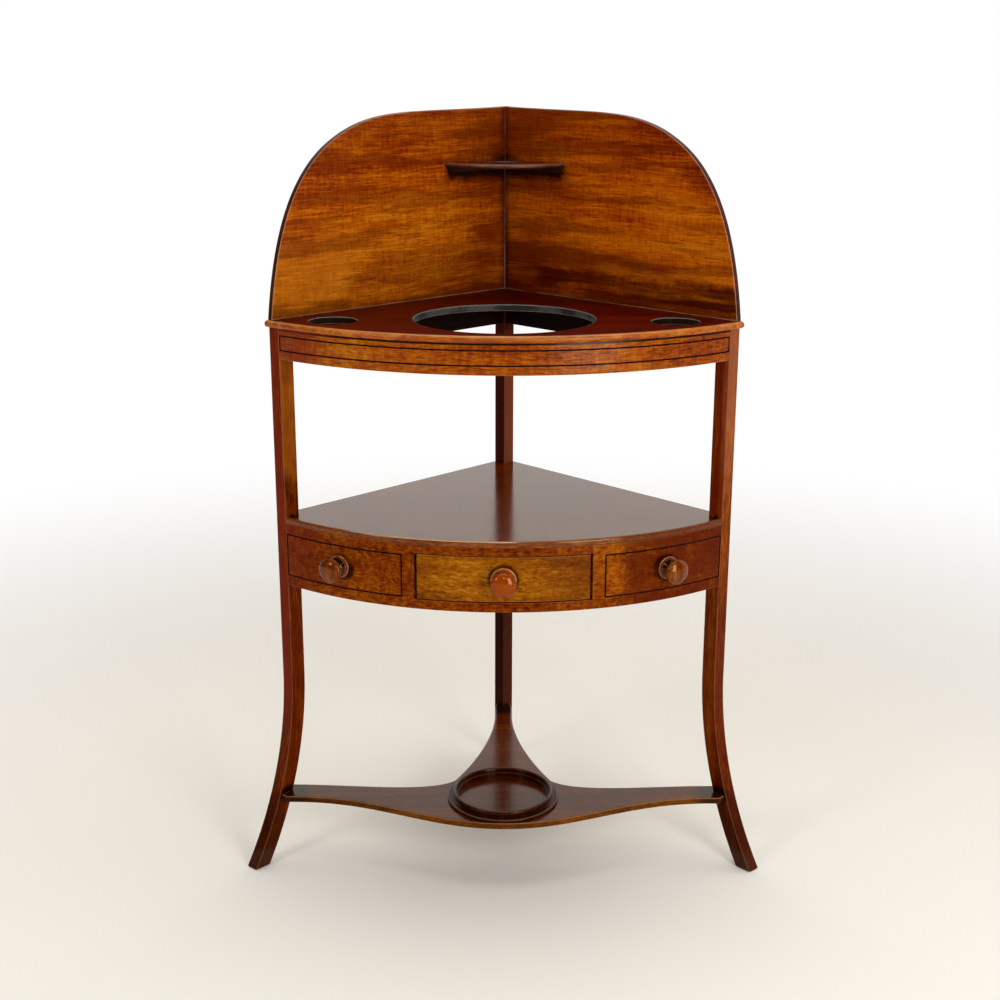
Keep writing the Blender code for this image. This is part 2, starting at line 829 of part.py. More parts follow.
def make_corner_shelf():
    base = corner_shelf_height - corner_shelf_thickness
    rows = bullnose(base, corner_shelf_height, nosing_steps)
    loops = [[(x, y, z) for x, y in corner_shelf_outline(inset)] for inset, z in rows]
    shelf = stack("corner_shelf", loops)
    x, y = depth_xy(0, corner_dish_depth)
    cut(shelf, upright_pin("dish", x, y, corner_dish_radius, corner_shelf_height - corner_dish_sink,
                           corner_shelf_height + cut_overrun, cup_steps))
    finish(shelf, dark_tone, polish_roughness)


def make_shelf_cleat(side):
    # Bearer under the corner shelf, its front end cut away below.
    top = corner_shelf_height - corner_shelf_thickness - joint_gap
    start = splash_thickness + cleat_width + cut_overrun
    end = corner_shelf_side - cleat_end_margin
    outline = [(start, top), (start, top - cleat_height), (end - cleat_chamfer, top - cleat_height),
               (end, top - cleat_height + cleat_chamfer), (end, top)]
    base = splash_thickness + joint_gap
    cleat = wall_slab(side_name("corner_shelf_cleat", side), side, outline, base, base + cleat_width)
    finish(cleat, dark_tone, polish_roughness)


# Shelf stage

def make_shelf_board():
    # Notched round both front legs and the rear post, its front edge rounded on the upper side.
    rows = [(0, shelf_base)]
    centre = shelf_height - shelf_edge_round
    for i in range(nosing_steps // 2 + 1):
        angle = math.pi / 2 * i / (nosing_steps // 2)
        rows.append((shelf_edge_round * (1 - math.cos(angle)), centre + shelf_edge_round * math.sin(angle)))
    board = bow_board("shelf_board", bow_radius, rows)
    heights = (shelf_base - cut_overrun, shelf_height + cut_overrun)
    cut(board, wall_box("notch", 1, (-cut_overrun, rear_post_side), (-cut_overrun, rear_post_side),
                        heights, joint_gap))
    for side in (-1, 1):
        cut(board, wall_box("notch", side, (frame_side - leg_depth, frame_side + foot_reach),
                            (-cut_overrun, leg_width), heights, joint_gap))
    finish(board, red_tone, polish_roughness)


def dummy_string(side, grow=0.0):
    inner = math.asin((opening_half + dummy_string_side) / bow_radius)
    outer = bow_angle_at_wall(bow_radius, leg_width) - string_end_margin / bow_radius
    start, end = (inner, outer) if side > 0 else (-outer, -inner)
    return string_frame(side_name("frieze_stringing", side), start, end,
                        frieze_base + dummy_string_rise, shelf_base - dummy_string_drop,
                        string_width, string_depth, grow)


def frieze_block_solid(name, side):
    # Curved block from the drawer opening to the leg.
    outline = []
    for radius, forward in ((bow_radius, True), (bow_radius - frieze_thickness, False)):
        start = math.asin((opening_half + joint_gap) / radius)
        end = bow_angle_at_wall(radius, leg_width + joint_gap)
        arc = bow_arc(radius, side * start, side * end, curve_steps)
        outline += arc if forward else arc[::-1]
    return prism(name, outline, frieze_base, shelf_base - joint_gap)


def drawer_rail_stub(side, base, top, grow=0.0):
    # Stub tenon of a drawer rail in the end of a frieze block.
    front = bow_depth_at(bow_radius, opening_half + rail_stub) - tenon_cheek
    low = side * (opening_half - tenon_root)
    high = side * (opening_half + rail_stub)
    return plan_box("tenon", (min(low, high), max(low, high)), (front - rail_stub_width, front),
                    (base + rail_stub_shoulder, top - rail_stub_shoulder), grow)


def dummy_knob_angle(side):
    # The knob stands midway along the stringing.
    inner = math.asin((opening_half + dummy_string_side) / bow_radius)
    outer = bow_angle_at_wall(bow_radius, leg_width) - string_end_margin / bow_radius
    return side * (inner + outer) / 2


def knob_frame(angle):
    # Local Z points out of the bow at the middle height of the drawer front.
    x, y = bow_xy(bow_radius + joint_gap, angle)
    height = (drawer_front_base + drawer_front_top) / 2
    outward = Vector((math.sin(angle), -math.cos(angle), 0))
    across = Vector((math.cos(angle), math.sin(angle), 0))
    up = Vector((0, 0, 1))
    turn = Matrix((across, up, outward)).transposed().to_4x4()
    return Matrix.Translation((x, y, height)) @ turn


def knob_profile(collar_radius):
    # From the inner end of the spigot to the middle of the domed face.
    profile = [(0, -knob_spigot_length), (knob_spigot_radius, -knob_spigot_length), (knob_spigot_radius, 0)]
    bead = knob_collar_height / 2
    profile += arc_points((collar_radius - bead, bead), bead, -math.pi / 2, math.pi / 2, 4)
    profile += [(knob_step_radius, knob_collar_height), (knob_step_radius, knob_step_height)]
    for i in range(1, 6):
        rise = i / 6
        flare = (2 * rise - 1) ** 2
        profile.append((knob_neck_radius + (knob_step_radius - knob_neck_radius) * flare,
                        knob_step_height + (knob_head_back - knob_step_height) * rise))
    back = knob_head_middle - knob_head_back
    for i in range(4):
        angle = -math.pi / 2 * (1 - i / 3)
        wide = knob_step_radius + (knob_head_radius - knob_step_radius) * math.cos(angle)
        profile.append((wide, knob_head_middle + back * math.sin(angle)))
    front = knob_height - joint_gap - knob_head_middle
    for i in range(1, 7):
        angle = math.pi / 2 * i / 6
        profile.append((knob_head_radius * math.cos(angle), knob_head_middle + front * math.sin(angle)))
    profile[-1] = (0, knob_height - joint_gap)
    return profile


def make_knob(name, angle, collar_radius):
    knob = turned(name, knob_profile(collar_radius), turned_steps)
    knob.matrix_world = knob_frame(angle)
    smooth(knob)
    return finish(knob, frieze_tone, polish_roughness)


def knob_bore(angle):
    bore = turned("bore", [(0, -knob_spigot_length - joint_gap),
                           (knob_spigot_radius + joint_gap, -knob_spigot_length - joint_gap),
                           (knob_spigot_radius + joint_gap, cut_overrun), (0, cut_overrun)], screw_steps * 2)
    bore.matrix_world = knob_frame(angle)
    return bore


def make_frieze_block(side):
    block = frieze_block_solid(side_name("frieze_block", side), side)
    join(block, frieze_tenon(side, frieze_base, shelf_base))
    cut(block, drawer_rail_stub(side, frieze_base, opening_base, joint_gap))
    cut(block, drawer_rail_stub(side, opening_top, shelf_base, joint_gap))
    cut(block, dummy_string(side, joint_gap))
    cut(block, knob_bore(dummy_knob_angle(side)))
    finish(block, frieze_tone, polish_roughness)
    finish(dummy_string(side), ebony_tone, polish_roughness)
    make_knob(side_name("dummy_knob", side), dummy_knob_angle(side), knob_collar_radius)


def make_drawer_rail_upper():
    inner_radius = bow_radius - upper_rail_width
    outer_end = math.asin((opening_half - joint_gap) / bow_radius)
    inner_end = math.asin((opening_half - joint_gap) / inner_radius)
    outline = bow_arc(bow_radius, -outer_end, outer_end, curve_steps)
    outline += bow_arc(inner_radius, inner_end, -inner_end, curve_steps)
    rail = prism("drawer_rail_upper", outline, opening_top, shelf_base - joint_gap)
    for side in (-1, 1):
        join(rail, drawer_rail_stub(side, opening_top, shelf_base))
    finish(rail, frieze_tone, polish_roughness)


def make_drawer_rail_lower():
    half = opening_half - joint_gap
    end = math.asin(half / bow_radius)
    outline = bow_arc(bow_radius, -end, end, curve_steps)
    outline += [depth_xy(half, lower_rail_depth), depth_xy(-half, lower_rail_depth)]
    rail = prism("drawer_rail_lower", outline, frieze_base, opening_base)
    for side in (-1, 1):
        join(rail, drawer_rail_stub(side, frieze_base, opening_base))
    finish(rail, frieze_tone, polish_roughness)


def bearer(name, side, inner_x, outer_x, front_depth, base, top, tone):
    # Straight piece from the front to the back rail, its rear end cut to the rail.
    reach = (rail_outer + joint_gap) * root_two
    outline = [depth_xy(side * inner_x, front_depth), depth_xy(side * outer_x, front_depth),
               depth_xy(side * outer_x, outer_x + reach), depth_xy(side * inner_x, inner_x + reach)]
    return finish(prism(side_name(name, side), outline, base, top), tone, lining_roughness)


def make_runner_set(side):
    inner = drawer_inner_half - drawer_side_thickness / 2
    outer = inner + runner_width
    bearer("drawer_runner", side, inner, outer, lower_rail_depth - joint_gap, frieze_base, opening_base,
           lining_tone)
    guide_inner = drawer_half + guide_gap
    guide_front = bow_depth_at(bow_radius - frieze_thickness, outer) - guide_front_gap
    bearer("drawer_guide", side, guide_inner, outer, guide_front, opening_base + joint_gap,
           opening_base + joint_gap + guide_height, lining_tone)
    kicker_front = bow_depth_at(bow_radius - upper_rail_width, opening_half) - joint_gap
    bearer("drawer_kicker", side, drawer_half - kicker_width + drawer_side_gap, opening_half,
           kicker_front, shelf_base - joint_gap - kicker_height, shelf_base - joint_gap, lining_tone)


def make_drawer_stop(side):
    # Small block on the lower rail, behind the drawer front.
    x = side * stop_offset
    face = bow_depth_at(drawer_inner_radius, stop_offset + stop_width / 2) - joint_gap
    stop = plan_box(side_name("drawer_stop", side), (x - stop_width / 2, x + stop_width / 2),
                    (face - stop_length, face),
                    (opening_base + joint_gap, opening_base + joint_gap + stop_height))
    finish(stop, lining_tone, lining_roughness)


# Drawer

def drawer_tails(side, front_end, grow=0.0):
    # Dovetails on one end of a drawer side, as trapezoids in depth and height.
    if front_end:
        root = bow_depth_at(drawer_inner_radius, drawer_half) - joint_gap
        tip = root + lap_tail_length
        low, high, count = drawer_side_base, drawer_side_top, 3
    else:
        root = drawer_back_depth + drawer_back_thickness + joint_gap
        tip = drawer_back_depth
        low, high, count = drawer_floor_top + joint_gap, drawer_front_top - drawer_back_drop, 2
    direction = 1 if tip > root else -1
    pitch = (high - low) / count
    inner = drawer_inner_half - grow
    outer = drawer_half + (cut_overrun if grow else 0.0)
    tails = []
    for i in range(count):
        middle = low + pitch * (i + 0.5)
        half_root = pitch * tail_root_share / 2 + grow
        half_tip = pitch * tail_tip_share / 2 + grow
        start = root - direction * (tenon_root if grow == 0 else joint_gap + drawer_bottom_gap)
        start_half = half_root
        outline = [(start, middle - start_half), (root, middle - half_root),
                   (tip + direction * grow, middle - half_tip), (tip + direction * grow, middle + half_tip),
                   (root, middle + half_root), (start, middle + start_half)]
        loops = []
        for x in (inner, outer):
            loops.append([depth_xy(side * x, d) + (z,) for d, z in outline])
        tails.append(stack("tail", loops))
    return tails


def drawer_floor(name, grow=0.0):
    # Bottom board, in grooves of the sides and front, and passing under the back.
    radius = drawer_inner_radius + front_groove_depth + grow
    half = drawer_inner_half + groove_depth + grow
    end = math.asin(half / radius)
    back = drawer_back_depth - (cut_overrun if grow else 0.0)
    outline = bow_arc(radius, -end, end, curve_steps)
    outline += [depth_xy(half, back), depth_xy(-half, back)]
    return prism(name, outline, drawer_floor_base - grow, drawer_floor_top + grow)


def nail_places():
    depth = drawer_back_depth + drawer_back_thickness / 2
    rows = (("left", -nail_offset), ("middle", 0), ("right", nail_offset))
    return {place: depth_xy(x, depth) for place, x in rows}


def nail_solid(name, place, grow=0.0):
    # Head under the bottom board, point in the drawer's back.
    base = drawer_floor_base - nail_head_height
    neck = drawer_floor_base - joint_gap - grow
    profile = [(0, base - grow), (nail_head_radius + grow, base - grow), (nail_head_radius + grow, neck),
               (nail_radius + grow, neck), (nail_radius + grow, base + nail_length), (0, base + nail_length + grow)]
    item = turned(name, profile, screw_steps)
    item.data.transform(Matrix.Translation((place[0], place[1], 0)))
    return item


def make_drawer_side(side):
    root_front = bow_depth_at(drawer_inner_radius, drawer_half) - joint_gap
    inner_front = bow_depth_at(drawer_inner_radius, drawer_inner_half) - joint_gap
    root_back = drawer_back_depth + drawer_back_thickness + joint_gap
    outline = [depth_xy(side * drawer_half, root_back), depth_xy(side * drawer_half, root_front),
               depth_xy(side * drawer_inner_half, inner_front), depth_xy(side * drawer_inner_half, root_back)]
    board = prism(side_name("drawer_side", side), outline, drawer_side_base, drawer_side_top)
    low = side * drawer_inner_half
    high = side * drawer_half
    foot = plan_box("foot", (min(low, high), max(low, high)), (drawer_back_depth, root_back + tenon_root),
                    (drawer_side_base, drawer_floor_top))
    join(board, foot)
    join(board, *drawer_tails(side, True))
    join(board, *drawer_tails(side, False))
    cut(board, drawer_floor("groove", joint_gap))
    return finish(board, lining_tone, lining_roughness)


def make_drawer_front():
    outer_end = math.asin(drawer_half / bow_radius)
    inner_end = math.asin(drawer_half / drawer_inner_radius)
    outline = bow_arc(bow_radius, -outer_end, outer_end, curve_steps * 2)
    outline += bow_arc(drawer_inner_radius, inner_end, -inner_end, curve_steps)
    front = prism("drawer_front", outline, drawer_front_base, drawer_front_top)
    for side in (-1, 1):
        cut(front, *drawer_tails(side, True, joint_gap))
    cut(front, drawer_floor("groove", joint_gap))
    cut(front, knob_bore(0))
    return finish(front, frieze_tone, polish_roughness)


def make_drawer_back():
    back = plan_box("drawer_back", (-drawer_half, drawer_half),
                    (drawer_back_depth, drawer_back_depth + drawer_back_thickness),
                    (drawer_floor_top + joint_gap, drawer_front_top - drawer_back_drop))
    for side in (-1, 1):
        cut(back, *drawer_tails(side, False, joint_gap))
    for place in nail_places().values():
        cut(back, nail_solid("hole", place, joint_gap))
    return finish(back, lining_tone, lining_roughness)


def make_drawer_bottom():
    board = drawer_floor("drawer_bottom")
    for place in nail_places().values():
        cut(board, nail_solid("hole", place, joint_gap))
    return finish(board, lining_tone, lining_roughness)


def make_drawer_nails():
    nails = []
    for place, point in nail_places().items():
        nail = nail_solid("drawer_nail_" + place, point)
        nails.append(finish(nail, iron_tone, iron_roughness, 1.0))
    return nails


def make_drawer():
    # All pieces hang on one empty on the line along which the drawer slides.
    slide = bpy.data.objects.new("drawer_slide", None)
    bpy.context.scene.collection.objects.link(slide)
    slide.location = depth_xy(0, bow_depth) + ((drawer_front_base + drawer_front_top) / 2,)
    bpy.context.view_layer.update()
    pieces = [make_drawer_front(), make_drawer_side(-1), make_drawer_side(1), make_drawer_back(),
              make_drawer_bottom(), make_knob("drawer_knob", 0, drawer_collar_radius)]
    pieces += make_drawer_nails()
    bpy.context.view_layer.update()
    for piece in pieces:
        piece.data.transform(slide.matrix_world.inverted() @ piece.matrix_world)
        piece.matrix_world = Matrix.Identity(4)
        piece.parent = slide


# Stretcher shelf and ring

def stretcher_half_outline():
    # Right half of the outline as (sideways, depth), from the post round to the front middle.
    arris = rear_post_side * root_two
    rear_end = frame_side / root_two
    end_along = leg_section(stretcher_height)[1] - stretcher_set_back
    front_depth = rear_end + stretcher_end_width
    front_end = end_along * root_two - front_depth
    neck = [(neck_end_half, arris - post_housing), (stretcher_neck_half, arris + post_housing)]
    flare_x = math.sin(flare_angle)
    flare_d = math.cos(flare_angle)
    flare = bezier((stretcher_neck_half, stretcher_neck_depth),
                   (stretcher_neck_half, stretcher_neck_depth + neck_handle),
                   (waist_half - flare_handle * flare_x, waist_depth - flare_handle * flare_d),
                   (waist_half, waist_depth), curve_steps)
    rear = bezier((waist_half, waist_depth),
                  (waist_half + waist_handle * math.cos(waist_angle),
                   waist_depth + waist_handle * math.sin(waist_angle)),
                  (rear_end - arm_rear_handle, rear_end - arm_rear_dip),
                  (rear_end, rear_end), curve_steps)
    corner = (end_along / root_two, end_along / root_two)
    front = bezier((front_end, front_depth),
                   (front_end - stretcher_arm_handle, front_depth - stretcher_arm_dip),
                   (stretcher_front_handle, stretcher_front_depth),
                   (0, stretcher_front_depth), curve_steps)
    return neck + flare + rear[1:] + [corner] + front


def make_stretcher():
    half = stretcher_half_outline()
    outline = [depth_xy(x, d) for x, d in half]
    outline += [depth_xy(-x, d) for x, d in reversed(half[:-1])]
    board = prism("stretcher_shelf", outline, stretcher_base, stretcher_height)
    span = frame_side + foot_reach
    for side in (-1, 1):
        cut(board, wall_box("trim", side, (0, span), (-span, stretcher_wall_gap),
                            (stretcher_base - cut_overrun, stretcher_height + cut_overrun)))
        cut(board, leg_solid("notch", side, joint_gap))
        join(board, stretcher_tenon(side))
    finish(board, dark_tone, polish_roughness)


def make_ewer_ring():
    # Two-step moulding turned round a plain bore with a small lip.
    lip = ring_inner_radius - ring_lip
    crown = (ring_outer_radius - ring_inner_radius) / 2
    middle = (ring_outer_radius + ring_inner_radius) / 2
    edge = ring_base_height / 2
    profile = [(lip, 0), (ring_base_radius - edge, 0)]
    profile += arc_points((ring_base_radius - edge, edge), edge, -math.pi / 2, math.pi / 2, 4)[1:]
    profile += [(ring_outer_radius, ring_base_height)]
    profile += arc_points((middle, ring_height - crown), crown, 0, math.pi, 4)
    profile += [(ring_inner_radius, ring_lip_height), (lip, ring_lip_height)]
    ring = turned("ewer_ring", profile, ring_steps, ring=True)
    ring.location = depth_xy(0, ring_centre_depth) + (stretcher_height + joint_gap,)
    smooth(ring)
    finish(ring, dark_tone, polish_roughness)


def make_washstand():
    clear_scene()
    for side in (-1, 1):
        make_front_leg(side)
    make_rear_post()
    make_top_board()
    make_top_frieze()
    for side in (-1, 1):
        make_back_rail(side_name("top_back_rail", side), side, top_frieze_base, top_board_base)
        make_back_rail(side_name("shelf_back_rail", side), side, frieze_base, shelf_base)
        make_splashback(side)
        make_shelf_cleat(side)
        make_frieze_block(side)
        make_runner_set(side)
        make_drawer_stop(side)
        make_glue_blocks(side)
        make_splash_screws(side)
    make_corner_shelf()
    make_shelf_board()
    make_drawer_rail_upper()
    make_drawer_rail_lower()
    make_drawer()
    make_stretcher()
    make_ewer_ring()


make_washstand()
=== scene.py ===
import math

import bpy
import numpy as np
from mathutils import Matrix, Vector
from mathutils.geometry import tessellate_polygon


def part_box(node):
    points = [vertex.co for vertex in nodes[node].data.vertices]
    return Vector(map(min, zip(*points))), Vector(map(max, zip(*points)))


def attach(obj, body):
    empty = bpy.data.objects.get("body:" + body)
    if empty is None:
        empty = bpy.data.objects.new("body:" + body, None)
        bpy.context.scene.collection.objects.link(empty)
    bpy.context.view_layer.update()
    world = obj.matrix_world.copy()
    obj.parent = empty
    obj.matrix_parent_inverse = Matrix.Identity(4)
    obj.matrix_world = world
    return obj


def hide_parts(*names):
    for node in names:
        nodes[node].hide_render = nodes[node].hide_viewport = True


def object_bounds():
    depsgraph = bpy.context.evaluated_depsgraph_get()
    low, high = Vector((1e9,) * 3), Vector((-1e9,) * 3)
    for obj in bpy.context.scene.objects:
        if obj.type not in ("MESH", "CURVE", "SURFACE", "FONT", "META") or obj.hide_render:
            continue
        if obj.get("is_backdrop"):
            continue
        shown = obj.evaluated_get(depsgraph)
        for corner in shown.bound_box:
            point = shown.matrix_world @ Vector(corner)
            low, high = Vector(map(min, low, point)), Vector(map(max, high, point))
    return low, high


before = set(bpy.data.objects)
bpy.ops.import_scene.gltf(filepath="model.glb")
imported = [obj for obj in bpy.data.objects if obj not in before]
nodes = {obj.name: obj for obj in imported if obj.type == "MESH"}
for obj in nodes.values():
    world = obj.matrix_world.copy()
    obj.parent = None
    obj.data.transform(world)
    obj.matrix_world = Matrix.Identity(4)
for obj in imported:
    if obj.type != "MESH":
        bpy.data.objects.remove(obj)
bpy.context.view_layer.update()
print("frame loaded:", len(nodes), "CAD nodes")

# Places shared by several pieces, as in the CAD part
gap = 0.0003            # play between neighbouring pieces
cornerY = 0.2476        # the corner of the two walls
frontSide = 0.472       # corner to the front face of a leg
bowDepth = 0.463        # corner to the middle of the bow
plan = dict(
    topHeight=0.834,
    topBase=0.8242,
    topFriezeBase=0.7797,
    shelfBase=0.5365,
    friezeBase=0.4417,
    openingBase=0.4556,
    openingTop=0.5245,
    openingHalf=0.1257,
    postSide=0.0215,
    legDepth=0.0255,
    legWidth=0.0202,
    panelThickness=0.0095,
    basinRadius=0.130,
    basinDepth=0.3145,  # corner to the basin hole's centre
    cupRadius=0.034,
    cupInward=0.0693,   # cup hole's centre from the wall
    cupSetBack=0.0515,  # and from the bow
)
sides = {"left": -1, "right": 1}
rootTwo = math.sqrt(2)
bowSetBack = (frontSide ** 2 - bowDepth ** 2) / (2 * (bowDepth - frontSide / rootTwo))
bowRadius = bowDepth + bowSetBack
bowCentreY = cornerY + bowSetBack


# Points in plan, all on whole arrays

def columns(*values):
    # coordinates side by side, spread to one shape
    return np.stack(np.broadcast_arrays(*[np.asarray(value, float) for value in values]), -1)


def raised(xy, z):
    # points in plan lifted to their heights
    return columns(xy[..., 0], xy[..., 1], z)


def unit(vectors):
    return vectors / np.linalg.norm(vectors, axis=-1, keepdims=True)


def wallXY(side, along, inward):
    # a point along and square to the left (-1) or right (+1) wall
    along, inward = np.asarray(along, float), np.asarray(inward, float)
    return columns(side * (along - inward) / rootTwo, cornerY - (along + inward) / rootTwo)


def bowXY(radius, angle):
    # a point of a circle round the bow's centre, angle zero at the middle of the front
    return columns(radius * np.sin(angle), bowCentreY - radius * np.cos(angle))


def angleAtWall(radius, inward):
    # the angle at which that circle is this far from a wall
    return math.acos((inward + bowSetBack / rootTwo) / radius) - math.pi / 4


def alongAtWall(radius, inward):
    # how far along the wall the same crossing lies
    offset = bowSetBack / rootTwo
    return math.sqrt(radius ** 2 - (inward + offset) ** 2) - offset


def fullTurn(count):
    return np.linspace(0, 2 * math.pi, count, endpoint=False)


def roundHole(x, y, radius, steps):
    return columns(x + radius * np.cos(fullTurn(steps)), y + radius * np.sin(fullTurn(steps)))


def bezier(steps, *corners):
    # cubic curve: the four corners weighted by (1-t)^3, 3t(1-t)^2, 3t^2(1-t), t^3
    t = np.linspace(0, 1, steps + 1)[:, None]
    a, b, c, d = np.array(corners, float)
    return (1 - t) ** 3 * a + 3 * t * (1 - t) ** 2 * b + 3 * t * t * (1 - t) * c + t ** 3 * d


def parabola(start, corner, end, steps=3):
    # a soft corner: start, corner and end weighted by (1-t)^2, 2t(1-t), t^2
    t = np.linspace(0, 1, steps + 1)[:, None]
    return (1 - t) ** 2 * start + 2 * t * (1 - t) * corner + t * t * end


def insetOutline(outline, distance):
    # every point moves inwards along the bisector of its two edges, by distance / cos(half turn);
    # the outline runs anticlockwise
    ahead = unit(np.roll(outline, -1, 0) - outline)
    inA = columns(-ahead[:, 1], ahead[:, 0])
    middle = unit(inA + np.roll(inA, 1, 0))
    stretch = np.clip((middle * inA).sum(1, keepdims=True), 0.35, 1)
    return outline + middle * distance / stretch


def softCorners(outline, radius):
    # corners sharper than 30 degrees become short parabolic rounds, the other points stay
    back = np.roll(outline, 1, 0) - outline
    on = np.roll(outline, -1, 0) - outline
    shorter = np.linalg.norm([back, on], axis=-1).min(0)[:, None]
    reach = np.minimum(radius, 0.4 * shorter)
    start, end = outline + unit(back) * reach, outline + unit(on) * reach
    rounded = parabola(start[:, None], outline[:, None], end[:, None])
    turn = -(unit(back) * unit(on)).sum(1, keepdims=True)
    sharp = np.broadcast_to(turn < math.cos(math.radians(30)), rounded.shape[:2])
    keep = sharp.copy()
    keep[:, 0] = True
    return np.where(sharp[..., None], rounded, outline[:, None])[keep]


def roundedSection(corners, radius, support):
    # corners (..., 4, 2) become four parabolic rounds with a support point on each side
    back = unit(np.roll(corners, 1, -2) - corners)[..., None, :]
    on = unit(np.roll(corners, -1, -2) - corners)[..., None, :]
    corner = corners[..., None, :]
    arc = parabola(corner + back * radius, corner, corner + on * radius)
    reach = radius + support
    points = np.concatenate([corner + back * reach, arc, corner + on * reach], -2)
    wear = np.tile([0, 0.55, 0.95, 0.95, 0.55, 0], 4)
    return points.reshape(corners.shape[:-2] + (24, 2)), wear


# Edges of boards: rows of (inset, height, wear) from the lower face to the upper one. Wear is 1 on
# an arris and 0 on the faces.

def betweenFaces(rows, inset, thickness):
    return np.concatenate([[(inset[0], 0, 0)], rows, [(inset[1], thickness, 0)]])


def easedRows(thickness, easeLow, easeHigh, support=0.003):
    # quarter round, flat edge, quarter round
    side = min(support, thickness * 0.25)
    turn = np.linspace(0, math.pi / 2, 4)
    sine, cosine = np.sin(turn), np.cos(turn)
    wear = 0.55 + 0.45 * np.sin(2 * turn)
    low = columns(easeLow * (1 - sine), easeLow * (1 - cosine), wear)
    high = columns(easeHigh * (1 - cosine), thickness - easeHigh * (1 - sine), wear)
    edge = [(0, easeLow + side, 0.1), (0, thickness - easeHigh - side, 0.1)]
    return betweenFaces(np.concatenate([low, edge, high]), (easeLow + support, easeHigh + support), thickness)


def noseRows(thickness, low, high, support=0.004):
    # half-round nosing between the two faces, most worn along its upper half
    turn = np.linspace(-math.pi / 2, math.pi / 2, 11)
    radius = thickness / 2
    wear = low + (high - low) * (0.5 + 0.5 * np.sin(turn))
    rows = columns(radius * (1 - np.cos(turn)), radius * (1 + np.sin(turn)), wear)
    return betweenFaces(rows, (radius + support, radius + support), thickness)


# Mesh makers. Each vertex carries "grain" (metres along, across and through the grain) and "wear".

def signedVolume(mesh):
    # sum of the tetrahedra between the origin and every triangle; negative if faces look inwards
    mesh.calc_loop_triangles()
    corners = np.empty(len(mesh.loop_triangles) * 3, int)
    mesh.loop_triangles.foreach_get("vertices", corners)
    places = np.empty(len(mesh.vertices) * 3)
    mesh.vertices.foreach_get("co", places)
    a, b, c = places.reshape(-1, 3)[corners].reshape(-1, 3, 3).transpose(1, 0, 2)
    return float((a * np.cross(b, c)).sum())


def addToScene(name, data):
    item = bpy.data.objects.new(name, data)
    bpy.context.scene.collection.objects.link(item)
    return item


def makeMesh(name, points, faces, grain, wear):
    mesh = bpy.data.meshes.new(name)
    mesh.from_pydata(points.reshape(-1, 3).tolist(), [], faces)
    for key, kind, field, values in (
            ("grain", "FLOAT_VECTOR", "vector", grain), ("wear", "FLOAT", "value", wear)):
        attribute = mesh.attributes.new(key, kind, "POINT")
        attribute.data.foreach_set(field, values.reshape(-1).astype(np.float32))
    mesh.validate()
    mesh.shade_smooth()
    mesh.set_sharp_from_angle(angle=math.radians(38))
    if signedVolume(mesh) < 0:
        mesh.flip_normals()
    return addToScene(name, mesh)


def gridFaces(rows, count, closed=False, first=0):
    # quads between neighbouring rings, and from the last ring to the first if closed
    r = np.arange(rows if closed else rows - 1)[:, None]
    i = np.arange(count)[None, :]
    near, far = r * count, ((r + 1) % rows) * count
    beside = (i + 1) % count
    return (np.stack([near + i, near + beside, far + beside, far + i], -1).reshape(-1, 4) + first).tolist()


def loft(name, rings, grain, wear, closed=False):
    # surface through a stack of closed rings (rings, points, xyz), with a flat face at each end
    rows, count = rings.shape[:2]
    faces = gridFaces(rows, count, closed)
    if not closed:
        faces += [list(range(count))[::-1], list(range((rows - 1) * count, rows * count))]
    return makeMesh(name, rings, faces, grain, np.broadcast_to(wear, (rows, count)))


def turnedPiece(name, rows, steps, grainShift, closed=False):
    # rows of (radius, height, wear) turned round Z; a closed profile gives a ring
    radius, height, wear = rows.T[..., None]
    x, y = radius * np.cos(fullTurn(steps)), radius * np.sin(fullTurn(steps))
    grain = columns(y + grainShift, x + grainShift, height)
    return loft(name, columns(x, y, height), grain, wear, closed)


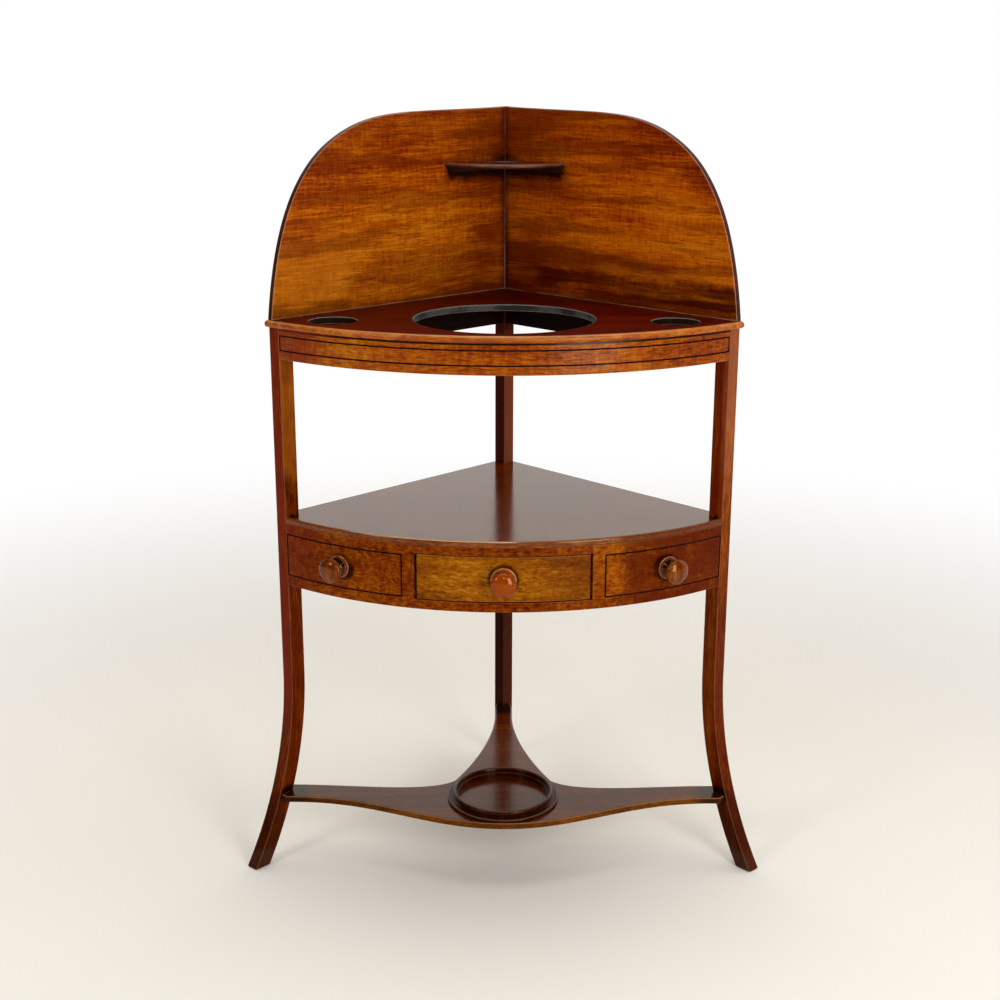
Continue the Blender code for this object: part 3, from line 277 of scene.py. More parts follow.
def plank(name, outline, rows, place, grainPlace, holes=(), edgeFinish=None):
    # a board cut to an outline: each row of its edge is the outline inset by that row's amount.
    # outline is (points, 2) or a function of the inset; place and grainPlace turn the board's own
    # (u, v, height) into the object's xyz and into the grain's directions.
    # holes are (outline, rows) pairs, their edges eased outwards; a hole whose rows start above the
    # lower face is blind. edgeFinish (first, last) are the outline points between which the outer
    # edge takes the piece's second finish.
    walls = [(outline if callable(outline) else lambda inset: insetOutline(outline, inset), rows)]
    walls += [(lambda inset, hole=hole: insetOutline(hole, -inset), holeRows) for hole, holeRows in holes]
    board, wear, faces, lowLoops, highLoops = np.empty((0, 3)), [], [], [], []
    for ringOf, wallRows in walls:
        first = len(board)
        flat = np.stack([ringOf(row[0]) for row in wallRows])
        count = flat.shape[1]
        board = np.concatenate([board, raised(flat, wallRows[:, 1:2]).reshape(-1, 3)])
        wear.append(np.repeat(wallRows[:, 2], count))
        quads = gridFaces(len(wallRows), count, first=first)
        faces += [face[::-1] for face in quads] if first else quads
        through = abs(wallRows[0, 1] - rows[0, 1]) < 1e-6
        (lowLoops if through else faces).append(list(range(first, first + count)))
        highLoops.append(list(range(len(board) - count, len(board))))
    for loops, reverse in ((lowLoops, True), (highLoops, False)):
        if len(loops) == 1:
            faces.append(loops[0][::-1] if reverse else loops[0])
            continue
        order = [i for loop in loops for i in loop]
        shapes = [[(board[i, 0], board[i, 1], 0) for i in loop] for loop in loops]
        for triangle in tessellate_polygon(shapes):
            a, b, c = (order[i] for i in triangle)
            spin = np.cross(board[b, :2] - board[a, :2], board[c, :2] - board[a, :2])
            faces.append([a, b, c] if (spin > 0) != reverse else [a, c, b])
    piece = makeMesh(name, place(board), faces, grainPlace(board), np.concatenate(wear))
    if edgeFinish:
        finish = np.zeros(len(faces), np.int32)
        count = len(lowLoops[0])
        finish[:(len(rows) - 1) * count].reshape(-1, count)[1:-1, edgeFinish[0]:edgeFinish[1]] = 1
        piece.data.polygons.foreach_set("material_index", finish)
    return piece


def shifted(along, through):
    # board coordinates moved along their first and third directions
    return lambda board: board + np.array([along, 0, through])


def flatPlace(base):
    # board coordinates are plan x, plan y and height above the base
    return shifted(0, base)


def wallPlace(side, base=0.0):
    # board coordinates are along the wall, height and distance from the wall
    return lambda board: raised(wallXY(side, board[:, 0], board[:, 2] + base), board[:, 1])


def bowGrain(shift):
    # grain that follows the bow: along is the arc, across is the height
    def grainPlace(board):
        angle = np.arctan2(board[:, 0], bowCentreY - board[:, 1])
        depth = bowRadius - np.hypot(board[:, 0], bowCentreY - board[:, 1])
        return columns(angle * bowRadius + shift, board[:, 2], depth + shift)
    return grainPlace


# Materials

def linearColour(hexColour):
    # sRGB hex to linear: below 0.04045 the value over 12.92, above it ((v + 0.055) / 1.055) ^ 2.4
    srgb = np.array([int(hexColour[i:i + 2], 16) for i in (1, 3, 5)]) / 255
    linear = np.where(srgb <= 0.04045, srgb / 12.92, ((srgb + 0.055) / 1.055) ** 2.4)
    return tuple(linear) + (1.0,)


def addNode(tree, kind, settings=None):
    # one node: its own options by name, its sockets by name or number, each set to a value or fed
    # by another node's socket
    node = tree.nodes.new(kind)
    for key, value in (settings or {}).items():
        if isinstance(value, bpy.types.NodeSocket):
            tree.links.new(value, node.inputs[key])
        elif isinstance(key, str) and hasattr(node, key):
            setattr(node, key, value)
        else:
            node.inputs[key].default_value = value
    return node


def maths(tree, operation, *values):
    # a value worked out from numbers and sockets
    return addNode(tree, "ShaderNodeMath", {"operation": operation, **dict(enumerate(values))}).outputs[0]


def ranged(tree, value, low, high, top=1.0, bottom=0.0, kind="SMOOTHSTEP"):
    settings = {"interpolation_type": kind, 0: value, 1: low, 2: high, 3: bottom, 4: top}
    return addNode(tree, "ShaderNodeMapRange", settings).outputs[0]


def toneRamp(tree, factor, stops, tones):
    ramp = addNode(tree, "ShaderNodeValToRGB", {0: factor})
    elements = ramp.color_ramp.elements
    while len(elements) > 1:
        elements.remove(elements[-1])
    tones = [linearColour(tone) for tone in tones.split()]
    elements[0].position, elements[0].color = stops[0], tones[0]
    for position, tone in zip(stops[1:], tones[1:]):
        elements.new(position).color = tone
    return ramp.outputs[0]


def newTree(name):
    material = bpy.data.materials.new(name)
    material.use_nodes = True
    material.node_tree.nodes.clear()
    return material, material.node_tree


def ownPlace(tree):
    return addNode(tree, "ShaderNodeTexCoord").outputs["Object"]


def ownValue(tree, name, output):
    return addNode(tree, "ShaderNodeAttribute", {"attribute_name": name}).outputs[output]


def addSurface(tree, relief, strength, settings):
    # the shader, its relief at most a fifth of a millimetre deep
    bump = addNode(tree, "ShaderNodeBump", {"Strength": strength, "Distance": 0.0002, "Height": relief})
    shader = addNode(tree, "ShaderNodeBsdfPrincipled", {**settings, "Normal": bump.outputs[0]})
    addNode(tree, "ShaderNodeOutputMaterial", {"Surface": shader.outputs[0]})


def timber(name, look):
    # Sawn and planed hardwood under a thin polish. The grain is noise stretched along the board:
    # wide growth streaks, narrow streaks between them, dark open pores, and a ribbon figure across
    # them that catches the light. Worn arrises are paler and duller; corners, creases and hollows take
    # painted shade, and a few faces and arrises take painted light.
    material, tree = newTree(name)
    where = ownPlace(tree)
    if "fromObject" in look:
        turned = {"Rotation": look["fromObject"], "Vector": where}
        grain = addNode(tree, "ShaderNodeMapping", turned).outputs[0]
    else:
        grain = ownValue(tree, "grain", "Vector")
    sway = addNode(tree, "ShaderNodeTexNoise", {"Scale": look["swayScale"], "Detail": 2.0, "Vector": grain})
    wander = {"operation": "MULTIPLY_ADD", 0: sway.outputs["Color"], 1: (0, look["sway"], 0.01), 2: grain}
    swayed = addNode(tree, "ShaderNodeVectorMath", wander).outputs[0]

    def layer(length, width, detail=3.0, rough=0.55, vector=swayed):
        # noise whose blobs, 0.6 wide at scale one, are this long along the grain and this wide across
        scale = (0.6 / length, 0.6 / width, 0.6 / width)
        scaled = addNode(tree, "ShaderNodeMapping", {"Scale": scale, "Vector": vector}).outputs[0]
        return addNode(tree, "ShaderNodeTexNoise", {
            "Scale": 1.0, "Detail": detail, "Roughness": rough, "Vector": scaled}).outputs[0]

    def blendTo(colour, factor, tone):
        return addNode(tree, "ShaderNodeMix", {
            "data_type": "RGBA", 0: factor, 6: colour, 7: linearColour(tone)}).outputs[2]

    streak = layer(*look["streak"][:2])
    fine = layer(*look["fine"][:2], 4.0)
    figure = layer(*look["figure"][:2], 3.0, 0.5)
    patch = layer(0.16, 0.11, 2.0, vector=grain)
    pores = layer(*look["pore"][:2], 2.0)

    # the four layers add up to one value round a half, which picks the tone
    amounts = (look["streak"][2], look["fine"][2], look["figure"][2], look["patch"])
    total = 0.5 - sum(amounts) / 2
    for noise, amount in zip((streak, fine, figure, patch), amounts):
        total = maths(tree, "MULTIPLY_ADD", noise, amount, total)
    poreMask = ranged(tree, pores, 0.56, 0.66, look["pore"][2])
    colour = blendTo(toneRamp(tree, total, look["stops"], look["tones"]), poreMask, look["poreTone"])

    # painted shade, painted shadow and painted highlights, and old wax, smoke and dust: each patch is a
    # product of ramps along the grain (X along, Y across, Z through) or the object (x, y, z), its border
    # wandering by a noise
    axes = {}
    for names, vector in (("XYZ", grain), ("xyz", where)):
        axes.update(zip(names, addNode(tree, "ShaderNodeSeparateXYZ", {0: vector}).outputs))
    cloud = layer(0.035, 0.02, 3.0, vector=grain)
    drift = layer(0.13, 0.014, 3.0, vector=grain)
    crumbs = layer(0.009, 0.006, 4.0, 0.7, vector=grain)

    def dirtAndPaintedLight(colour, mask, strength, tone, noise):
        # the border wanders round a cloud, or along the grain where the noise is below zero; a
        # strong noise breaks the patch up
        amount = abs(noise)
        loose = maths(tree, "MULTIPLY_ADD", cloud if noise > 0 else drift, 2 * amount, -1.15 * amount)
        broken = maths(tree, "MULTIPLY", maths(tree, "ADD", mask, loose), mask)
        return blendTo(colour, ranged(tree, broken, 0.05, 0.95, strength), tone)

    for ramps, *patchLook in look["shade"]:
        mask = None
        for axis, start, end, wobble in ramps:
            value = maths(tree, "MULTIPLY_ADD", crumbs, wobble, axes[axis]) if wobble else axes[axis]
            ramp = ranged(tree, value, start + wobble / 2, end + wobble / 2)
            mask = maths(tree, "MULTIPLY", mask, ramp) if mask else ramp
        colour = dirtAndPaintedLight(colour, mask, *patchLook)
    for centre, inner, outer, *patchLook in look["spots"]:
        # a round patch at a place of the object, such as the painted shade round a knob's foot
        apart = addNode(
            tree, "ShaderNodeVectorMath", {"operation": "DISTANCE", 0: where, 1: centre}).outputs[1]
        colour = dirtAndPaintedLight(colour, ranged(tree, apart, outer, inner), *patchLook)

    middle = look["rough"] - look["roughVary"] / 2
    roughness = maths(tree, "MULTIPLY_ADD", patch, look["roughVary"], middle)
    roughness = maths(tree, "MULTIPLY_ADD", poreMask, 0.12, roughness)
    if "fromObject" not in look:
        # wear on the arrises, broken by a coarse noise so that it comes and goes
        worn = ownValue(tree, "wear", "Fac")
        uneven = maths(tree, "MULTIPLY_ADD", layer(0.02, 0.006, 4.0, 0.65, vector=grain), 1.5, -0.75)
        kept = maths(tree, "MULTIPLY", maths(tree, "ADD", worn, uneven), worn)
        wearMask = ranged(tree, kept, 0.12, 0.8, look["wear"])
        colour = blendTo(colour, wearMask, look["wearTone"])
        roughness = maths(tree, "MULTIPLY_ADD", wearMask, 0.14, roughness)
    # pores and narrow streaks sink a few hundredths of a millimetre, the figure swells a little
    relief = maths(tree, "MULTIPLY_ADD", poreMask, -1.5, maths(tree, "MULTIPLY_ADD", fine, 0.5, figure))
    addSurface(tree, relief, look["bump"], {
        "Base Color": colour, "Roughness": roughness, "Specular IOR Level": look["specular"],
        "Specular Tint": linearColour(look["specularTint"]), "IOR": 1.5})
    return material


def speckled(name, look):
    # one fine noise in the colour, the roughness and the relief
    material, tree = newTree(name)
    source = ownPlace(tree) if look["fromObject"] else ownValue(tree, "grain", "Vector")
    speck = addNode(tree, "ShaderNodeTexNoise", {
        "Scale": look["scale"], "Detail": look["detail"], "Vector": source}).outputs[0]
    smooth, dull = look["rough"]
    addSurface(tree, speck, look["bump"], {
        "Base Color": toneRamp(tree, speck, look["stops"], look["tones"]),
        "Roughness": ranged(tree, speck, 0.3, 0.7, dull, smooth, "LINEAR"), **look["shader"]})
    return material


# Polished mahogany: warm orange-brown, red-brown or nearly black, by how each board was cut and kept.
# streak, fine, figure and pore are (length, width, amount); shade and spots are old dirt, painted
# shade and painted light.
mahogany = dict(
    streak=(0.42, 0.018, 0.8), fine=(0.09, 0.0022, 0.8), figure=(0.012, 0.05, 0.3), patch=0.5,
    pore=(0.012, 0.0011, 0.45), poreTone="#2E0C04", stops=(0.2, 0.5, 0.8), sway=0.03, swayScale=5.0,
    rough=0.3, roughVary=0.16, specular=0.22, specularTint="#FFE2BC", wear=0.5, wearTone="#A8683A",
    bump=0.25, shade=(), spots=())
fourStops = (0.12, 0.4, 0.6, 0.88)
veneer = dict(pore=(0.0045, 0.0011, 0.5), stops=fourStops)
# the panels' pale arrises are wear and a painted highlight
panel = dict(
    veneer, patch=1.1, fine=(0.020, 0.0014, 1.1), figure=(0.003, 0.012, 0.5), stops=(0.12, 0.38, 0.6, 0.88),
    sway=0.014, specular=0.1, wearTone="#A67A66")
knobWood = dict(figure=(0.006, 0.02, 0.3), sway=0.006, bump=0.02, specular=0.44)


def variant(**changes):
    return {**mahogany, **changes}


def spotsAt(places, *patchLook):
    return [(place, *patchLook) for place in places]


def mirrored(x, y, z):
    return [(-x, y, z), (x, y, z)]


basinCentre = (0.0, cornerY - plan["basinDepth"], 0.8291)
cupAlong = alongAtWall(bowRadius - plan["cupSetBack"], plan["cupInward"])
cupXY = [wallXY(side, cupAlong, plan["cupInward"]) for side in sides.values()]
cupCentres = [(x, y, 0.8291) for x, y in cupXY]
knobPlaces = [(0.0, -0.2154, 0.4902)] + mirrored(0.2318, -0.158, 0.4902)
legJoints = mirrored(0.330, -0.111, 0.107)
shelfJoints = mirrored(0.3105, -0.0914, 0.5455)
panelShift = {side: 2.0 + 1.37 * side for side in sides.values()}


def panelShade(side, corner):
    # on the room side of a panel: painted shade in the corner, along the joint on the top and towards the
    # top of the panel, dark blotches, a painted shadow under the small shelf and painted shade over it,
    # painted highlights along the foot and the corner seam, and the dark edges and back
    front = panelShift[side] + plan["panelThickness"]
    face = ("Z", front - 0.0012, front - 0.0003, 0)
    underShelf = [("X", 0.152, 0.126, 0.02), ("Y", 0.992, 1.024, 0.02), ("Y", 1.040, 1.034, 0.003), face]
    overShelf = [("X", 0.090, 0.010, 0.02), ("Y", 1.030, 1.036, 0.0), ("Y", 1.062, 1.040, 0.02), face]
    return [
        # painted shade in the corner, along the inner corner, along the joint on the top and towards the top
        ([("X", 0.24, 0.01, 0)], corner, "#4A0C00", -1.1),
        ([("X", 0.034, 0.010, 0.012)], 0.75, "#240408", 0.9),
        ([("Y", 0.862, 0.836, 0.012)], 0.55, "#3A0800", -0.9),
        ([("Y", 0.96, 1.12, 0)], 0.4, "#5E1C00", -0.7),
        ([("Y", 0.70, 0.80, 0)], 0.45, "#561200", -5.0),
        # painted shadow under the small shelf, painted shade over it
        (underShelf, 0.97, "#100202", 0.4),
        (overShelf, 0.85, "#1E0503", 0.9),
        # painted highlights along the foot and along the corner seam
        ([("Y", 0.8370, 0.8352, 0.0020), face], 0.8, "#A8763C", 1.3),
        ([("X", 0.0112, 0.0104, 0.0030), ("Y", 0.97, 0.88, 0.05)], 0.7, "#8E7A70", 1.2),
        ([("X", 0.0108, 0.0102, 0.0030)], 0.5, "#6E5450", 1.8),
        ([("Z", front - 0.0004, front - 0.0012, 0)], 0.92, "#2A0F0A", 0.15),
    ]


# a pale patch low on the left panel, dark streaks low on the right one
leftPatch = [([("X", 0.16, 0.40, 0.05), ("Y", 1.04, 0.90, 0.05)], 0.28, "#C67C18", 0.9)]
lowStreak = [("Y", 0.898, 0.868, 0.02), ("Y", 0.836, 0.850, 0.01), ("X", 0.03, 0.10, 0.03)]
rightStreaks = [
    (lowStreak, 0.97, "#2C0200", -1.35),
    ([("Y", 0.99, 0.89, 0.02), ("X", 0.47, 0.25, 0.05)], 0.6, "#4A0A00", -1.5),
]
# painted shade, black, in the hollow between a knob's head and its collar
neckShade = [([("Z", 0.0046, 0.0064, 0), ("Z", 0.0192, 0.0168, 0)], 0.96, "#0A0200", 0.2)]
# the legs: darker downwards; above the shelf painted light on the left one's inner face, a painted
# sheen on the right one's front and painted shade in red on the right one's inner face; the left
# one's other faces are red; dust on the feet
legShade = [
    ([("z", 0.52, 0.36, 0.1)], 0.55, "#4E1200", 0.6),
    ([("z", 0.24, 0.05, 0.05)], 0.72, "#200600", 0.9),
    ([("z", 0.50, 0.64, 0.1), ("Z", -0.2824, -0.2804, 0), ("x", 0.02, -0.02, 0)], 0.38, "#A45C14", 1.3),
    ([("z", 0.50, 0.64, 0.1), ("x", 0.310, 0.314, 0)], 0.5, "#A4603A", 0.9),
    ([("z", 0.50, 0.56, 0.02), ("Z", 0.3182, 0.3198, 0)], 0.55, "#600A00", 0.5),
    ([("z", 0.12, 0.30, 0.05), ("Z", -0.2804, -0.2824, 0), ("x", 0.02, -0.02, 0)], 0.6, "#7C1C00", 0.9),
    ([("z", 0.046, 0.018, 0.02)], 0.3, "#4A362A", 1.3),
]
# a painted highlight on the upper front arris of the shelf, left of the middle
shelfGlint = [("z", 0.5438, 0.5446, 0.0003), ("x", -0.27, -0.19, 0.03), ("x", 0.06, -0.01, 0.03)]

looks = {
    "splashLeft": variant(
        **panel, streak=(0.17, 0.0065, 0.6), tones="#581200 #8A3600 #A65002 #C07010",
        shade=leftPatch + panelShade(-1, 0.55)),
    "splashRight": variant(
        **panel, streak=(0.17, 0.0065, 0.8), tones="#641200 #983A00 #AE5200 #C06808",
        shade=rightStreaks + panelShade(1, 0.25)),
    "topBoard": variant(
        tones="#2C0200 #4A0500 #620E00", specular=0.05, rough=0.4, poreTone="#1A0200", wearTone="#80807A",
        wear=0.7,
        # painted shade inside the basin hole with a painted grey sheen on its wall, painted shade inside the
        # cup holes, and darker rings round the holes
        spots=spotsAt([basinCentre], 0.1303, 0.1313, 1.0, "#262C2C", 0.1)
        + spotsAt([basinCentre], 0.1302, 0.1306, 0.75, "#666E6C", 2.6)
        + spotsAt([basinCentre], 0.129, 0.145, 0.6, "#240803", 0.9)
        + spotsAt(cupCentres, 0.0343, 0.0352, 1.0, "#14150F", 0.1)
        + spotsAt(cupCentres, 0.034, 0.041, 0.7, "#1C0A04", 1.2)),
    "nosing": variant(
        streak=(0.12, 0.006, 0.9), stops=(0.2, 0.45, 0.65, 0.85), tones="#662402 #8E3E04 #A8560A #BC7018",
        specular=0.3, rough=0.24, wearTone="#C88A44", wear=0.45,
        shade=[
            ([("x", -0.366, -0.382, 0.004)], 0.95, "#140C06", 0.5),
            ([("x", 0.374, 0.383, 0.004)], 0.9, "#1C120A", 0.5)]),
    "frieze": variant(
        **veneer, patch=1.1, streak=(0.15, 0.011, 0.4), figure=(0.0036, 0.016, 0.5),
        fine=(0.010, 0.0014, 1.1), tones="#581600 #843600 #9A4C02 #B66E10", specular=0.16, rough=0.22,
        roughVary=0.12, wearTone="#A87450",
        shade=[
            # a painted shadow under the nosing
            ([("z", 0.8196, 0.8212, 0.001)], 0.97, "#0A0201", 0.2),
            ([("x", -0.16, -0.30, 0.05)], 0.7, "#781A00", 0.8)]),
    "dummy": variant(
        **veneer, patch=1.0, streak=(0.10, 0.010, 0.5), figure=(0.0040, 0.007, 0.8),
        fine=(0.008, 0.0015, 1.2), sway=0.02, swayScale=40.0, rough=0.28, specular=0.05,
        tones="#420A00 #6A2600 #803A00 #985206", wearTone="#9C6034",
        shade=[
            ([("x", -0.20, -0.30, 0.05)], 0.62, "#660E00", 0.9),
            ([("x", 0.13, 0.19, 0.05)], 0.8, "#4E1000", 0.9)],
        # painted shade round the knobs' feet
        spots=spotsAt(knobPlaces, 0.0178, 0.026, 0.8, "#140400", 1.0)),
    "drawer": variant(
        streak=(0.09, 0.010, 0.9), figure=(0.005, 0.0030, 0.6), fine=(0.013, 0.0015, 1.0), patch=1.0,
        sway=0.012, swayScale=60.0, stops=(0.12, 0.38, 0.6, 0.88), tones="#441A00 #703600 #8A4A00 #A66C14",
        wearTone="#A06C34", specular=0.07, shade=[([("x", -0.02, 0.11, 0.03)], 0.4, "#5A2600", 0.8)],
        # painted shade round the knob's foot
        spots=spotsAt(knobPlaces[:1], 0.0194, 0.029, 0.92, "#1A0800", 0.8)),
    "legs": variant(
        pore=(0.010, 0.0009, 0.6), streak=(0.3, 0.004, 0.9), fine=(0.03, 0.0011, 1.5),
        figure=(0.010, 0.006, 0.5), patch=1.1, stops=(0.10, 0.42, 0.62, 0.9),
        tones="#340A00 #642200 #783200 #905010", wearTone="#94684C", wear=0.28, specular=0.05,
        specularTint="#FFCC94", shade=legShade,
        # painted shade where the stretcher and the shelf meet the legs
        spots=spotsAt(legJoints, 0.008, 0.026, 0.97, "#0E0202", 0.5)
        + spotsAt(shelfJoints, 0.002, 0.0075, 0.85, "#0E0202", 0.4)),
    "shelf": variant(
        tones="#3C1200 #581C00 #702C04", rough=0.14, roughVary=0.12, bump=0.13, streak=(0.4, 0.012, 0.5),
        specular=0.68, specularTint="#FFF8BC", wearTone="#B07040", wear=0.3, poreTone="#240600",
        # painted shade round the legs
        spots=spotsAt(shelfJoints, 0.008, 0.019, 0.9, "#120302", 0.6)),
    "shelfEdge": variant(
        streak=(0.12, 0.012, 0.6), figure=(0.006, 0.010, 0.5), fine=(0.014, 0.0015, 1.3), patch=0.9,
        stops=fourStops, tones="#3C0C00 #5C2200 #703400 #884A08", rough=0.12, roughVary=0.06,
        wearTone="#8A5430", wear=0.3, bump=0.1, specular=0.4,
        shade=[([("x", 0.13, 0.19, 0.05)], 0.6, "#4A1000", 0.9), (shelfGlint, 0.75, "#D2AE92", 0.7)]),
    "dark": variant(tones="#1C0402 #340A02 #4C1804", rough=0.24, wear=0.4, wearTone="#86604E"),
    "post": variant(
        streak=(0.3, 0.006, 0.9), tones="#1E0200 #400600 #601600", rough=0.24, wear=0.2, wearTone="#7A5440",
        specular=0.03,
        shade=[
            # painted light on the post's right front face, darker from the shelf down, painted shade under
            # the top board
            ([("Y", 0.0200, 0.0212, 0), ("z", 0.80, 0.74, 0)], 0.75, "#7A4024", 0.4),
            ([("z", 0.60, 0.40, 0.1)], 0.75, "#200200", 0.4),
            ([("z", 0.76, 0.80, 0)], 0.7, "#140402", 0.4)]),
    "stretcher": variant(
        tones="#2C0600 #501A00 #6C3000", rough=0.17, roughVary=0.10, bump=0.12, specular=0.36,
        specularTint="#FFECB4", wear=0.8, wearTone="#C8A070", poreTone="#240600",
        # painted shade towards the post, and where the arms meet the legs
        shade=[([("y", 0.150, 0.195, 0.02)], 0.95, "#120403", 0.3)],
        spots=spotsAt(legJoints, 0.02, 0.06, 0.8, "#140403", 0.6)),
    "stretcherEdge": variant(
        tones="#2C1000 #5A2C00 #7C4608", wear=0.6, wearTone="#94643A", specular=0.1,
        # painted shade on the edge towards the back, and where the arms meet the legs
        shade=[([("y", 0.02, 0.10, 0.02)], 0.85, "#1E0A05", 0.3)],
        spots=spotsAt(legJoints, 0.02, 0.07, 0.8, "#140403", 0.6)),
    "ring": variant(
        tones="#120200 #240600 #3C1000", rough=0.18, wearTone="#6E503C", specular=0.14,
        streak=(0.1, 0.006, 0.7)),
    "inside": variant(
        tones="#050100 #0C0301 #1A0803", rough=0.5, wear=0.25, wearTone="#3A2418", specular=0.03),
    "knob": variant(
        **knobWood, streak=(0.05, 0.008, 0.7), tones="#6E2600 #883600 #9C4800", rough=0.07, roughVary=0.03,
        wearTone="#B88058", specularTint="#FFC484", shade=neckShade),
    "knobDark": variant(
        **knobWood, streak=(0.05, 0.008, 0.9), poreTone="#3A1200", tones="#3C1000 #5E2400 #864410",
        rough=0.05, roughVary=0.02, wearTone="#A06C50", specularTint="#FFC88C", shade=neckShade),
}
materials = {key: timber("mahogany_" + key, look) for key, look in looks.items()}

# Oak and deal of the hidden parts: dry, unpolished, with open grain that runs with the object
lining = variant(tones="#7E5E38 #A58558 #BC9C6C", poreTone="#5C4022", rough=0.6, specular=0.3)
materials["lining"] = timber("waxed_oak_lining", {**lining, "fromObject": (0, 0, 0)})
materials["liningAcross"] = timber("waxed_oak_across", {**lining, "fromObject": (0, 0, math.pi / 2)})
# Cleats and glue blocks nearly black: painted shade, as the cleats stand in the shadow under the corner shelf
materials["darkBlock"] = timber("deal_painted_shade_black", variant(
    fromObject=(0, 0, math.pi / 4), tones="#120604 #1E0C06 #32180C", rough=0.6, specular=0.2))
# Ebony stringing let in flush and polished over: near black, faint brown along its length
materials["ebony"] = speckled("ebony_stringing", dict(
    fromObject=False, scale=260.0, detail=3.0, stops=(0.35, 0.6, 0.75), tones="#0A0302 #1C0A05 #3C1A0C",
    rough=(0.40, 0.60), bump=0.2, shader={"Specular IOR Level": 0.02}))
# Old iron screws and nails: dark grey with rust bloom, dull
materials["iron"] = speckled("wrought_iron", dict(
    fromObject=True, scale=700.0, detail=4.0, stops=(0.4, 0.55, 0.68), tones="#3E3A36 #5C554E #6A4430",
    rough=(0.38, 0.7), bump=0.4, shader={"Metallic": 0.9}))
print("materials:", len(materials))


def dress(piece, finishes, node, body="frame"):
    # the piece takes its finishes, stands for its CAD node and moves with its body
    for key in finishes.split():
        piece.data.materials.append(materials[key])
    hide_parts(node)
    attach(piece, body)


# Front legs: a square section, its front face swept forward below the shelf stage
leg = dict(foot=0.0236, sweepStart=0.295, reach=0.082, ease=0.0010, footEase=0.0018, support=0.0035,
           stations=44, upper=(0.4, 0.55, 0.7))
sweepRadius = (leg["sweepStart"] ** 2 + leg["reach"] ** 2) / (2 * leg["reach"])


def legFaces(z):
    # along the wall, the front face stands at frontSide + R - sqrt(R^2 - drop^2), and the section is
    # kept square to the sweep
    drop = np.maximum(leg["sweepStart"] - z, 0)
    square = plan["legDepth"] + (leg["foot"] - plan["legDepth"]) * drop / leg["sweepStart"]
    front = frontSide + sweepRadius - np.sqrt(sweepRadius ** 2 - drop ** 2)
    return front, front - square / np.sqrt(1 - (drop / sweepRadius) ** 2)


def wallColumn(name, side, corners, z, part, grainShift):
    # a leg or post through four-cornered sections (along, inward) at these heights
    section, wear = roundedSection(corners, part["ease"], part["support"])
    rings = raised(wallXY(side, section[..., 0], section[..., 1]), z[:, None])
    along, across, through = grainShift
    grain = columns(z[:, None] + along, section[..., 0] + across, section[..., 1] + through)
    return loft(name, rings, grain, wear)


def makeLeg(name, side):
    low = np.linspace(0, leg["sweepStart"], leg["stations"])
    low[0] = leg["footEase"]
    z = np.concatenate([[0], low, leg["upper"], [plan["topBase"] - gap]])
    easing = np.where(z == 0, leg["footEase"], 0.0)
    front, back = legFaces(z)
    # the grain runs down the leg and follows its sweep a little
    middle = ((front + back) / 2 - frontSide)[:, None]
    tilt = frontSide - alongAtWall(bowRadius, plan["legWidth"])
    front, back = front - easing, back + easing
    wide = plan["legWidth"] - easing
    fours = ((back, easing), (back, wide), (front - tilt, wide), (front, easing))
    corners = np.stack([columns(*four) for four in fours], 1)
    return wallColumn(name, side, corners, z, leg, (3.1 * side, -0.6 * middle, 0.3 * side))


for label, side in sides.items():
    dress(makeLeg("swept_leg_" + label, side), "legs", "front_leg_" + label)

# Rear post: square, an arris towards the room
post = dict(ease=0.0008, support=0.003, heights=(0.2, 0.4, 0.6))
z = np.array([0, post["ease"], *post["heights"], plan["topBase"] - gap])
shrink = np.where(z == 0, post["ease"], 0.0)[:, None, None]
corners = plan["postSide"] * np.array([(0, 0), (1, 0), (1, 1), (0, 1)]) * (1 - 2 * shrink / plan["postSide"])
dress(wallColumn("corner_post", 1, corners + shrink, z, post, (7.3, 0, 0)), "post", "rear_post")
print("legs and post")

# Top board: full nosing, a basin hole and two cup holes
top = dict(thickness=0.0098, overhang=0.0075, friezeThickness=0.016, ease=0.0011, underEase=0.0006,
           holeSupport=0.0015, wear=(0.2, 0.8))


def bowBoard(inset):
    # the corner, then the bow from wall to wall; the wall edges move in by an eighth of the inset
    back = inset / 8
    radius = bowRadius + top["overhang"] - inset
    end = angleAtWall(radius, back)
    return np.concatenate([wallXY(1, [back], [back]), bowXY(radius, np.linspace(-end, end, 121))])


def bowStrip(thickness, startOf, endOf, steps):
    # curved strip in plan; startOf and endOf give its end angles on any radius, and only its two
    # curved faces move in with the inset
    def outline(inset):
        front, back = bowRadius - inset, bowRadius - thickness + inset
        outer = bowXY(front, np.linspace(startOf(front), endOf(front), steps + 1))
        inner = bowXY(back, np.linspace(endOf(back), startOf(back), steps + 1))
        return np.concatenate([outer, inner])
    return outline


def wallEnd(sign):
    return lambda radius: sign * angleAtWall(radius, plan["legWidth"] + gap)


def plumbEnd(x):
    return lambda radius: math.asin(x / radius)


def bowedBoard(name, outline, low, high, eases, grainShift, *finishes):
    # a board between two heights, its grain round the bow
    rows = easedRows(high - low, *eases)
    dress(plank(name, outline, rows, flatPlace(low), bowGrain(grainShift)), *finishes)


